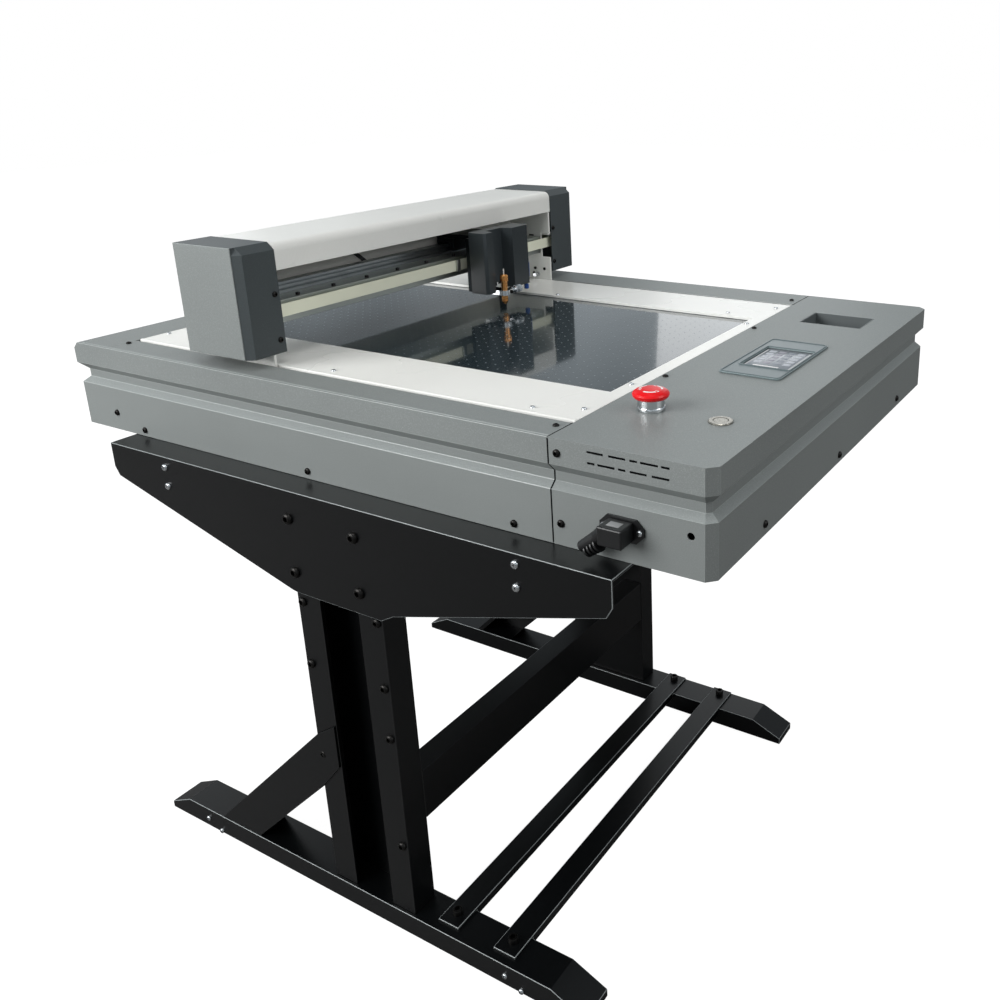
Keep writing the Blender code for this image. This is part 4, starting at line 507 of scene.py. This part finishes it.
# Casing: two shells folded from 2 mm sheet and welded, the machine bed's and the control bay's,
# in a grey powder coat with fine metallic flecks; button screws fix them to the pan inside.
grey_coat = powder_coat("flecked_grey_powder_coat", "#8A8F8E", "#B8BDBC", 0.30, 0.8, 0.50, 0.20,
                        skin=0.04, sparkle=0.30)
# painted highlight: the same coat, lighter and a little smoother, on the rounded folds
grey_edge = powder_coat("grey_edge_painted_highlight", "#9BA1A0", "#B8BEBD", 0.3, 0.8, 0.30)
paint(grey_coat, "main_housing", "bay_housing")
ease_edges(0.0006, grey_edge, "main_housing", "bay_housing")

casing_low, casing_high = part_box("main_housing")
bay_low, bay_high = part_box("bay_housing")
# millimetres along each end of the machine and up from its lower edge
END_SPOTS = ((119, 13), (343, 10), (579, 12))
casing_screws = [seat(node, (x, y, casing_low.z + z * MM), way) for node, x, y, z, way in (
    *(("main_housing", casing_low.x + x * MM, casing_low.y - APART, z, BACK)
      for x, z in ((70, 25), (126.5, 9), (436.5, 10), (742, 11))),
    *(("bay_housing", bay_low.x + 10.5 * MM, bay_low.y - APART, z, BACK) for z in (101, 24.5)),
    *(("bay_housing", bay_high.x + APART, bay_low.y + y * MM, z, LEFT) for y, z in END_SPOTS),
    *(("main_housing", casing_low.x - APART, casing_low.y + y * MM, z, RIGHT)
      for y, z in END_SPOTS),
    *(("main_housing", casing_low.x + x * MM, casing_high.y + APART, z, FORWARD)
      for x, z in ((70, 12), (258, 12), (436, 12), (742, 12))),
)]
fasteners("casing_screws", "button", 0.0085, casing_screws, black_oxide, "root")


def slab(low, high, round_off, segments=2):
    """A small block with every edge rounded."""
    block = bmesh.new()
    bmesh.ops.create_cube(block, size=1)
    middle = [(a + b) / 2 for a, b in zip(low, high)]
    for corner in block.verts:
        corner.co = [m + c * (b - a) for m, c, a, b in zip(middle, corner.co, low, high)]
    bmesh.ops.bevel(block, geom=block.edges, offset=round_off, segments=segments, affect="EDGES",
                    profile=0.5)
    return block


# painted shade: black plates behind the vent slots stand in for the shade inside. In millimetres,
# each row's depth below the deck, and each slot's start past the joint and its length
painted_shade_black = powder_coat("painted_shade_black", "#060708", "#0B0C0D", 0.4, 0.6, 0.9, 0.1, skin=0.0)
VENTS = ((7.8, ((45.8, 18.7), (70.3, 18.9), (93.7, 8.5), (105.5, 19.2), (127.8, 9.2))),
         (19.2, ((46.0, 8.6), (57.8, 19.4), (80.9, 8.3), (94.0, 18.4), (117.8, 18.8))))
piece("vent_felt", [slab((bay_low.x + (start - 0.3) * MM, bay_low.y + 0.0003,
                          casing_high.z - (drop + 1.3) * MM),
                         (bay_low.x + (start + length - 0.1) * MM, bay_low.y + 0.0012,
                          casing_high.z - (drop - 1.3) * MM), 0.0001)
                    for drop, slots in VENTS for start, length in slots],
      painted_shade_black, "root")

# painted shadow: a black strip in the gap between the two shells, down both long sides
SHADOW_STRIP_STEPS = 100
for side, outside, way in (("front", casing_low.y - APART, BACK),
                           ("rear", casing_high.y + APART, FORWARD)):
    rings = []
    for step in range(SHADOW_STRIP_STEPS + 1):
        z = casing_low.z + 0.0015 + (casing_high.z - casing_low.z - 0.0030) * step / SHADOW_STRIP_STEPS
        wall, _ = seat("bay_housing", (bay_low.x + 0.0020, outside, z), way)
        rings.append([(bay_low.x + x, wall.y + y * way[1], z)
                      for x, y in ((-0.0011, -0.0001), (0.0007, -0.0001),
                                   (0.0007, 0.0010), (-0.0011, 0.0010))])
    piece(f"{side}_joint_seal", [lofted(rings)], painted_shade_black, "root")


# Deck covers: folded strips of the same coated sheet round the white frame, with black screws.
paint(grey_coat, "front_deck_cover", "left_deck_cover", "rear_deck_cover")
# the covers' rounded edges get the same lighter painted highlight
ease_edges(0.0007, grey_edge, "front_deck_cover", "left_deck_cover", "rear_deck_cover")
front_low, front_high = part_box("front_deck_cover")
rear_low, rear_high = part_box("rear_deck_cover")
above = casing_high.z + 0.03
deck_screws = [seat(node, (x, y, above), DOWN) for node, x, y in (
    ("front_deck_cover", front_low.x + 0.0065, front_high.y - 0.0150),
    ("front_deck_cover", front_high.x - 0.0097, front_high.y - 0.0150),
    ("rear_deck_cover", rear_high.x - 0.0117, rear_low.y + 0.0259),
    ("rear_deck_cover", rear_low.x + 0.0117, rear_low.y + 0.0259),
    ("bay_housing", bay_low.x + 0.0065, -0.1070),
    ("bay_housing", bay_low.x + 0.0065, 0.1445),
)]
fasteners("deck_screws", "button", 0.0070, deck_screws, black_oxide, "root")
# painted shadow: black strips in the deck's joint between the two shells
piece("deck_joint_seal", [slab((bay_low.x - 0.0009, low_y, front_high.z - 0.0010),
                               (bay_low.x + 0.0005, high_y, front_high.z + 0.0001), 0.00005)
                          for low_y, high_y in ((bay_low.y + 0.001, front_high.y),
                                                (rear_low.y, bay_high.y - 0.001))],
      painted_shade_black, "root")


# Bed frame: one steel frame round the table in white gloss enamel, with a hem folded along its
# near edge, held down by small silver screws.
white_gloss = powder_coat("white_gloss_enamel", "#F0F1ED", "#F5F6F2", 0.3, 3.0, 0.28, 0.35,
                          skin=0.08)
paint(white_gloss, "table_frame")
ease_edges(0.0006, white_gloss, "table_frame")
frame_low, frame_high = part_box("table_frame")
piece("frame_hem", [slab((frame_low.x + 0.0010, frame_low.y + 0.0004, frame_high.z - 0.0002),
                         (frame_high.x - 0.0010, frame_low.y + 0.0042, frame_high.z + 0.0006),
                         0.0003)], white_gloss, "root")
frame_screws = [seat("table_frame", (frame_low.x + x * MM, frame_low.y + y * MM, above), DOWN)
                for x, y in ((706, 35), (706, 132), (706, 446), (706, 551), (654, 494),
                             (357, 485), (9, 38), (60, 485), (9, 446), (357, 14), (654, 14))]
fasteners("frame_screws", "pan", 0.0060, frame_screws, bright_zinc, "root")


# Vacuum table: a gloss black perforated plate over a folded suction chamber; the holes are
# drilled on a square grid and lightly countersunk, so that each shows a bright bare rim.
black_gloss = plastic("black_gloss_laminate", "#2B353A", 0.09, grain_mm=30.0, relief_mm=0.4,
                      gloss=0.6, coat=0.6)
paint(black_gloss, "vacuum_table")
paint(galvanised, "vacuum_box")
# The bare aluminium that the countersink uncovers.
bare_rim = metal("countersunk_aluminium", "#B4BABE", 0.40)

hole_tree, given = new_tree("countersunk_holes", "Holes", Corner="Geometry", Length="Float",
                            Depth="Float", Along="Int", Across="Int", Rim="Float", Bore="Float",
                            Finish="Material")
grid = add_node(hole_tree, "GeometryNodeMeshGrid",
                {"Size X": given.outputs["Length"], "Size Y": given.outputs["Depth"],
                 "Vertices X": given.outputs["Along"], "Vertices Y": given.outputs["Across"]})
# each rim is a shallow ring, swept round the hole
hoop = add_node(hole_tree, "GeometryNodeCurvePrimitiveCircle",
                {"Resolution": 12, "Radius": given.outputs["Rim"]})
bead = add_node(hole_tree, "GeometryNodeCurvePrimitiveCircle",
                {"Resolution": 4, "Radius": given.outputs["Bore"]})
rim = add_node(hole_tree, "GeometryNodeCurveToMesh",
               {"Curve": hoop.outputs["Curve"], "Profile Curve": bead.outputs["Curve"]})
spread = add_node(hole_tree, "GeometryNodeInstanceOnPoints",
                  {"Points": grid.outputs["Mesh"], "Instance": rim.outputs["Mesh"]})
real = add_node(hole_tree, "GeometryNodeRealizeInstances",
                {"Geometry": spread.outputs["Instances"]})
coated = add_node(hole_tree, "GeometryNodeSetMaterial",
                  {"Geometry": real.outputs["Geometry"], "Material": given.outputs["Finish"]})
add_node(hole_tree, "NodeGroupOutput", {"Holes": coated.outputs["Geometry"]})

table_low, table_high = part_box("vacuum_table")
HOLE_PITCH = 0.0152
HOLE_MARGIN = 0.017
along = int((table_high.x - table_low.x - 2 * HOLE_MARGIN) / HOLE_PITCH) + 1
across = int((table_high.y - table_low.y - 2 * HOLE_MARGIN) / HOLE_PITCH) + 1
seed_mesh = bpy.data.meshes.new("table_holes")
seed_mesh.from_pydata([(0, 0, 0)], [], [])
rims = grown("table_holes", seed_mesh, hole_tree,
             {"Length": (along - 1) * HOLE_PITCH, "Depth": (across - 1) * HOLE_PITCH,
              "Along": along, "Across": across, "Rim": 0.0008, "Bore": 0.00020,
              "Finish": bare_rim})
table_middle = (table_low + table_high) / 2
for corner in rims.vertices:
    corner.co = (corner.co.x + table_middle.x, corner.co.y + table_middle.y,
                 table_high.z + corner.co.z * 0.5)
settle("table_hole_rims", rims, bare_rim, "root")


# Stop button: a red moulded mushroom head with pale turn-to-release arrows, over a chromed
# collar screwed through the deck.
red_plastic = plastic("red_polycarbonate", "#E2030F", 0.34, grain_mm=3.0, relief_mm=0.004,
                      gloss=0.3, coat=0.05)
chrome = metal("chrome_plate", "#D4D6D8", 0.09, uneven=0.03)
white_print = plastic("white_pad_print", "#EDEDED", 0.4)
paint(red_plastic, "estop_head", "estop_stem")
paint(chrome, "estop_collar")

collar_low, collar_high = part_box("estop_collar")
collar_middle = (collar_low + collar_high) / 2
deck_top = casing_high.z
piece("estop_collar_ring",
      [stand_on(turned(((0.0120, 0.0001), (0.0150, 0.0001), (0.0153, 0.0006), (0.0153, 0.0040),
                        (0.0149, 0.0046), (0.0120, 0.0046)), 40),
                (collar_middle.x, collar_middle.y, deck_top), UP)],
      chrome, "root")

head_low, head_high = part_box("estop_head")
knob_x = (head_low.x + head_high.x) / 2
knob_y = (head_low.y + head_high.y) / 2
arrow_shells = []
ARROW_STEPS = 22
ARROW_REACH = 0.0118   # from the head's middle to the middle of an arrow
PRINT_THICK = 0.00003
for first in range(3):
    rings = []
    for step in range(ARROW_STEPS + 1):
        part_way = step / ARROW_STEPS
        angle = math.radians(20 + 120 * first + 88 * part_way)
        half = 0.0012 if part_way < 0.74 else 0.0027 * (1 - part_way) / 0.26 + 0.00005
        ring = []
        for off, lift in ((-half, PRINT_THICK), (half, PRINT_THICK), (half, -0.0004),
                          (-half, -0.0004)):
            x = knob_x + (ARROW_REACH + off) * math.cos(angle)
            y = knob_y + (ARROW_REACH + off) * math.sin(angle)
            top, _ = seat("estop_head", (x, y, head_high.z + 0.01), DOWN)
            ring.append((x, y, top.z + lift))
        rings.append(ring)
    arrow_shells.append(lofted(rings))
piece("estop_arrows", arrow_shells, white_print, "estop_head")


# Push button: a flat cap of brushed stainless steel, turned on a lathe, that stands flush in its
# bezel beside the stop button. The brushing leaves it uneven and a little warm.
stainless = metal("brushed_stainless", "#A19D94", 0.26, grain_mm=2.4, uneven=0.30,
                  relief_mm=0.03)
paint(stainless, "button_bezel", "button_cap")


# Touch panel: a blue-grey ABS surround with a raised rim, and a glass screen that shows rows of
# plain tiles. The pocket behind it is a charcoal tray with a turned edge.
surround_abs = plastic("blue_grey_abs", "#5D6A6D", 0.34)
paint(surround_abs, "touch_bezel")
# painted highlight: a paler edge paint on the bezel's rounded edges
pale_rim = plastic("abs_edge_painted_highlight", "#8A9A9B", 0.30)
ease_edges(0.0008, pale_rim, "touch_bezel")
screen_glass = plastic("dark_screen_glass", "#20242A", 0.08, relief_mm=0.0, gloss=0.5, coat=0.5)
paint(screen_glass, "touch_glass")
glass_low, glass_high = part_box("touch_glass")

lit_screen = plastic("lit_screen_film", "#7F858C", 0.2, grain_mm=4.0, relief_mm=0.0)
tile_paints = [plastic(f"screen_tile_{name}", code, 0.3) for name, code in (
    ("pale", "#A6ABB4"), ("slate", "#666D7A"), ("dusk", "#7C7A88"))]
inset = 0.0035                  # from the glass's edge to the film
TILE_THICK = 0.00012
piece("screen_film", [slab((glass_low.x + inset, glass_low.y + inset, glass_high.z - 0.0003),
                           (glass_high.x - inset, glass_high.y - inset, glass_high.z + 0.00006),
                           0.00005)], lit_screen, "root")
columns, rows = 4, 5
cell_x = (glass_high.x - glass_low.x - 2 * inset - 0.003) / columns
cell_y = (glass_high.y - glass_low.y - 2 * inset - 0.016) / rows
tiles = [[] for _ in tile_paints]
for column in range(columns):
    for row in range(rows):
        x = glass_low.x + inset + 0.0015 + (column + 0.5) * cell_x
        y = glass_low.y + inset + 0.0130 + (row + 0.5) * cell_y
        tiles[(column * 2 + row * 3) % len(tiles)].append(
            slab((x - cell_x * 0.36, y - cell_y * 0.34, glass_high.z),
                 (x + cell_x * 0.36, y + cell_y * 0.34, glass_high.z + TILE_THICK), 0.00005))
for number, (shells, colour) in enumerate(zip(tiles, tile_paints)):
    piece(f"screen_tiles_{number}", shells, colour, "root")
piece("screen_bar", [slab((glass_low.x + 0.012, glass_low.y + inset + 0.002, glass_high.z),
                          (glass_high.x - 0.016, glass_low.y + inset + 0.0055,
                           glass_high.z + TILE_THICK), 0.00005)], white_print, "root")


def raised_rail(low, high, width, height, corner):
    """A rounded rail round a rectangle, lying on the level of the corners."""
    turn_steps = 8
    rings = []
    middle_x = (low[0] + high[0]) / 2
    middle_y = (low[1] + high[1]) / 2
    for step in range(4 * turn_steps):
        quarter = step // turn_steps
        angle = math.tau * (quarter + (step % turn_steps) / (turn_steps - 1)) / 4
        sign_x = (1, -1, -1, 1)[quarter]
        sign_y = (1, 1, -1, -1)[quarter]
        core_x = middle_x + sign_x * ((high[0] - low[0]) / 2 - corner)
        core_y = middle_y + sign_y * ((high[1] - low[1]) / 2 - corner)
        rings.append([(core_x + (corner + out) * math.cos(angle),
                       core_y + (corner + out) * math.sin(angle), low[2] + up)
                      for out, up in ((-width / 2, -0.0002), (-width / 2, height * 0.5),
                                      (-width * 0.2, height), (width * 0.2, height),
                                      (width / 2, height * 0.5), (width / 2, -0.0002))])
    rail = bmesh.new()
    levels = [[rail.verts.new(point) for point in ring] for ring in rings]
    count = len(rings[0])
    for low_ring, high_ring in zip(levels, levels[1:] + levels[:1]):
        for step in range(count):
            after = (step + 1) % count
            rail.faces.new((low_ring[step], low_ring[after], high_ring[after], high_ring[step]))
    bmesh.ops.recalc_face_normals(rail, faces=rail.faces)
    return rail


bezel_low, bezel_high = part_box("touch_bezel")
piece("touch_rims", [
    raised_rail((glass_low.x - 0.0025, glass_low.y - 0.0025, bezel_high.z),
                  (glass_high.x + 0.0025, glass_high.y + 0.0025), 0.0024, 0.0012, 0.0030),
    raised_rail((bezel_low.x + 0.0022, bezel_low.y + 0.0022, bezel_high.z),
                  (bezel_high.x - 0.0022, bezel_high.y - 0.0022), 0.0020, 0.0008, 0.0050)],
    surround_abs, "root")

charcoal_abs = plastic("charcoal_abs", "#5D6364", 0.42)
paint(charcoal_abs, "pocket_tray")
ease_edges(0.0006, charcoal_abs, "pocket_tray")


# Mains inlet: a black socket held by two bright screws, and a moulded angled plug in soft PVC,
# whose strain relief is ribbed so that it bends evenly.
black_pvc = plastic("black_pvc", "#141516", 0.38)
paint(black_pvc, "power_inlet", "mains_plug")
ease_edges(0.0028, black_pvc, "mains_plug")
brass = metal("turned_brass", "#CB935A", 0.25, grain_mm=0.6, along=(0.15, 0.15, 1))
inlet_low, inlet_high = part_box("power_inlet")
inlet_x = (inlet_low.x + inlet_high.x) / 2
inlet_z = (inlet_low.z + inlet_high.z) / 2
fasteners("inlet_screws", "pan", 0.0068,
          [seat("power_inlet", (inlet_x + side * 0.0203, inlet_low.y - APART, inlet_z), BACK)
           for side in (-1, 1)], bright_zinc, "root")
lean = math.radians(38)
lead_way = Vector((-math.cos(lean), 0, -math.sin(lean)))
plug_low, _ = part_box("mains_plug")
# the plug's body stands between the inlet's flange and the front of the plug
body_middle = Vector((inlet_x, (plug_low.y + inlet_low.y - 0.0003) / 2, inlet_z))
lead_root = body_middle + lead_way * 0.0105
ribs = []
RIB_PITCH = 0.0052
RIB_TAPER = 0.00045
for number in range(4):
    reach = 0.0135 + number * RIB_PITCH
    radius = 0.0084 - number * RIB_TAPER
    ribs.append(stand_on(turned(((radius - 0.0016, -0.0015), (radius - 0.0003, -0.0012),
                                 (radius, -0.0006), (radius, 0.0006), (radius - 0.0003, 0.0012),
                                 (radius - 0.0016, 0.0015))), lead_root + lead_way * reach,
                         lead_way))
piece("plug_ribs", ribs, black_pvc, "root")
rating_patch = plastic("grey_blank_patch", "#8D8F90", 0.5)
piece("plug_patch", [slab((inlet_x - 0.007, body_middle.y - 0.005, inlet_z + 0.0098),
                          (inlet_x + 0.007, body_middle.y + 0.005, inlet_z + 0.0102), 0.00008)],
      rating_patch, "root")


# Gantry: two moulded end caps in the casing's grey, two painted steel legs, a folded white cover,
# and an extruded beam between the legs that carries the rail and the belt.
charcoal_coat = powder_coat("charcoal_powder_coat", "#474D4F", "#62686A", 0.25, 0.8, 0.45, 0.20,
                            skin=0.04)
paint(charcoal_coat, "front_end_cap", "rear_end_cap")
ease_edges(0.0010, charcoal_coat, "front_end_cap", "rear_end_cap")


def face_plate(name, node, way, thick, margin):
    """A thin plate laid on the flat outer face of a CAD node, with rounded edges."""
    copy = bmesh.new()
    copy.from_mesh(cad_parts[node].data)
    bmesh.ops.remove_doubles(copy, verts=copy.verts, dist=0.00001)
    far = max(corner.co.dot(way) for corner in copy.verts)
    off = [face for face in copy.faces
           if face.normal.dot(way) < 0.99 or face.calc_center_median().dot(way) < far - 0.0002]
    bmesh.ops.delete(copy, geom=off, context="FACES")
    bmesh.ops.dissolve_faces(copy, faces=copy.faces)
    bmesh.ops.inset_region(copy, faces=copy.faces, thickness=margin, use_even_offset=True)
    outer = [face for face in copy.faces if len(face.verts) == 4 and face.calc_area() < 0.0008]
    bmesh.ops.delete(copy, geom=outer, context="FACES")
    raised = bmesh.ops.extrude_face_region(copy, geom=copy.faces[:])
    moved = [item for item in raised["geom"] if isinstance(item, bmesh.types.BMVert)]
    bmesh.ops.translate(copy, vec=way * thick, verts=moved)
    bmesh.ops.recalc_face_normals(copy, faces=copy.faces)
    rims = [edge for edge in copy.edges if all(corner in moved for corner in edge.verts)]
    bmesh.ops.bevel(copy, geom=rims, offset=thick * 0.6, segments=2, affect="EDGES", profile=0.5)
    return piece(name, [copy], grey_coat, "gantry", 15)


face_plate("front_cap_plate", "front_end_cap", Vector(FORWARD), 0.0010, 0.0006)
face_plate("rear_cap_plate", "rear_end_cap", Vector(BACK), 0.0010, 0.0006)
cap_screws = []
for node in ("front_end_cap", "rear_end_cap"):
    cap_low, cap_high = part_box(node)
    y = cap_high.y - 0.0075 if node == "front_end_cap" else cap_low.y + 0.0045
    for z in (cap_low.z + 0.0738, cap_low.z + 0.0167):
        cap_screws.append(seat(node, (cap_high.x + APART, y, z), LEFT))
        cap_screws.append(seat(node, (cap_low.x - APART, y, z), RIGHT))
fasteners("cap_screws", "button", 0.0072, cap_screws, black_oxide, "gantry")

paint(white_gloss, "gantry_cover", "front_leg", "rear_leg")
ease_edges(0.0007, white_gloss, "front_leg", "rear_leg")
anodised = metal("anodised_aluminium", "#BFC2BC", 0.40, grain_mm=1.0, along=(1, 0.06, 1),
                 uneven=0.03, relief_mm=0.003)
paint(anodised, "gantry_beam", "y_idler", "y_drive_pulley")
ease_edges(0.0005, anodised, "gantry_beam")
pale_sheet = powder_coat("grey_painted_sheet", "#ECECE8", "#F0F0EC", 0.2, 2.0, 0.4, 0.4)
paint(pale_sheet, "cable_tray")
paint(black_nylon, "y_motor")

beam_low, beam_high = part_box("gantry_beam")
BEAM_SCREW_PITCH = 0.060
beam_seats = []
place = beam_low.y + 0.0053
while place < beam_high.y - 0.02:
    beam_seats.append(seat("gantry_beam", (beam_high.x - 0.0075, place, beam_high.z + APART), DOWN))
    place += BEAM_SCREW_PITCH
fasteners("beam_screws", "cap", 0.0055, beam_seats[1:], black_oxide, "gantry")


# screws and a small adjuster on the rear leg's inner face
leg_low, leg_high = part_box("rear_leg")
inner_face = [seat("rear_leg", (leg_high.x - x * MM, leg_low.y - 0.05, z * MM), BACK)
              for x, z in ((31.9, 729.6), (12.8, 729.6), (35.3, 721.0))]
fasteners("leg_screws", "button", 0.0052, inner_face, black_oxide, "gantry")
knob_seat, knob_way = seat("rear_leg", (leg_high.x - 0.0266, leg_low.y - 0.05, 0.7195), BACK)
piece("leg_adjuster", [stand_on(turned(((0.0040, -0.0005), (0.0040, 0.0020), (0.0026, 0.0024),
                                        (0.0026, 0.0060), (0.0036, 0.0064), (0.0036, 0.0100),
                                        (0.0031, 0.0106))), knob_seat, knob_way)],
      chrome, "gantry")

# flat black cable clipped against the back wall of the tray
STRAP_STEPS = 14
STRAP_TOP = (-0.078, 0.833)     # Y and Z of its upper end
STRAP_RUN = (0.030, -0.040)     # how far along and down it goes, in a bend
strap_rings = []
for step in range(STRAP_STEPS + 1):
    part_way = step / STRAP_STEPS
    y = STRAP_TOP[0] + STRAP_RUN[0] * part_way ** 1.6
    z = STRAP_TOP[1] + STRAP_RUN[1] * part_way
    ring = []
    for off, out in ((-0.0045, 0.0002), (0.0045, 0.0002), (0.0045, 0.0012), (-0.0045, 0.0012)):
        wall, _ = seat("cable_tray", (beam_high.x, y + off, z), LEFT)
        ring.append((wall.x + out, y + off, z))
    strap_rings.append(ring)
piece("tray_strap", [lofted(strap_rings)], black_pvc, "gantry")


# Carriage: a charcoal moulded cover in two blocks with the tool's recess between them, on a plate
# of black anodised aluminium that a bearing block carries along the beam's rail.
charcoal_cover = plastic("charcoal_moulded_abs", "#2B3134", 0.36)
paint(charcoal_cover, "carriage_housing")
ease_edges(0.0010, charcoal_cover, "carriage_housing")
black_anodised = metal("black_anodised_aluminium", "#25282A", 0.38)
paint(black_anodised, "carriage_plate")
ease_edges(0.0005, black_anodised, "carriage_plate")
blue_nylon = plastic("blue_nylon", "#1B4FA0", 0.35)
hood_low, hood_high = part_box("carriage_housing")
piece("carriage_blue_wire", [slab((hood_high.x - 0.0060, hood_high.y - 0.0001,
                                   hood_low.z + 0.009),
                                  (hood_high.x - 0.0035, hood_high.y + 0.0022,
                                   hood_low.z + 0.032), 0.0008)],
      blue_nylon, "carriage")
# a bright clamp joins the belt's end to the carriage
belt_low, belt_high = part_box("y_belt")
mover_low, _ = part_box("carriage_plate")
piece("belt_clamp", [slab((belt_high.x + 0.0008, mover_low.y - 0.0075, belt_low.z - 0.0010),
                          (belt_high.x + 0.0034, mover_low.y + 0.0005, belt_high.z + 0.0010),
                          0.0005)], anodised, "carriage")
piece("carriage_air_fitting",
      [stand_on(turned(((0.0030, 0), (0.0038, 0.0004), (0.0038, 0.0070), (0.0030, 0.0078),
                        (0.0022, 0.0080), (0.0022, 0.0105))),
                (hood_high.x - 0.0065, hood_high.y - 0.0045, hood_low.z - 0.0100), UP)],
      blue_nylon, "carriage")


# Tool: a turned brass blade holder in an aluminium clamp, closed by a chromed thumb screw, with
# its nylon ejector pin standing out of the top.
paint(brass, "blade_holder")
paint(chrome, "thumb_screw", "tool_clamp")
paint(drawn_steel, "blade")
white_nylon = plastic("white_nylon", "#E8E8E4", 0.35)
paint(white_nylon, "ejector_pin")

holder_low, holder_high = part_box("blade_holder")
tool_x = (holder_low.x + holder_high.x) / 2
tool_y = (holder_low.y + holder_high.y) / 2


def ridge(radius, length):
    """One ridge of a knurled grip, rounded at both ends."""
    return turned(((radius - 0.0002, 0), (radius, 0.0004), (radius, length - 0.0004),
                   (radius - 0.0002, length)), 6)


# knurled grip round the holder's cap, and turned bands below it
GRIP_RIDGES = 26
GRIP_REACH = 0.00555
grip = []
for number in range(GRIP_RIDGES):
    angle = math.tau * number / GRIP_RIDGES
    grip.append(stand_on(ridge(0.00055, 0.0064),
                         (tool_x + GRIP_REACH * math.cos(angle),
                          tool_y + GRIP_REACH * math.sin(angle), deck_top + 0.0403), UP))
for up in (0.0300, 0.0330, 0.0075, 0.0105):
    grip.append(stand_on(turned(((0.0046, 0), (0.0053, 0.0003), (0.0053, 0.0010),
                                 (0.0046, 0.0013)), 32), (tool_x, tool_y, deck_top + up), UP))
piece("holder_knurls", grip, brass, "tool")
_, clamp_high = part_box("tool_clamp")
fasteners("clamp_screw", "cap", 0.0052,
          [seat("tool_clamp", (clamp_high.x + APART, tool_y + 0.0085, deck_top + 0.0205), LEFT)],
          black_oxide, "tool")
knob_low, knob_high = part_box("thumb_screw")
knob_z = (knob_low.z + knob_high.z) / 2
THUMB_RIDGES = 22
THUMB_REACH = 0.0052
thumb_grip = []
for number in range(THUMB_RIDGES):
    angle = math.tau * number / THUMB_RIDGES
    thumb_grip.append(stand_on(ridge(0.0005, 0.0136),
                               (tool_x + THUMB_REACH * math.cos(angle), knob_high.y - 0.0144,
                                knob_z + THUMB_REACH * math.sin(angle)), BACK))
piece("thumb_screw_knurls", thumb_grip, chrome, "thumb_screw")
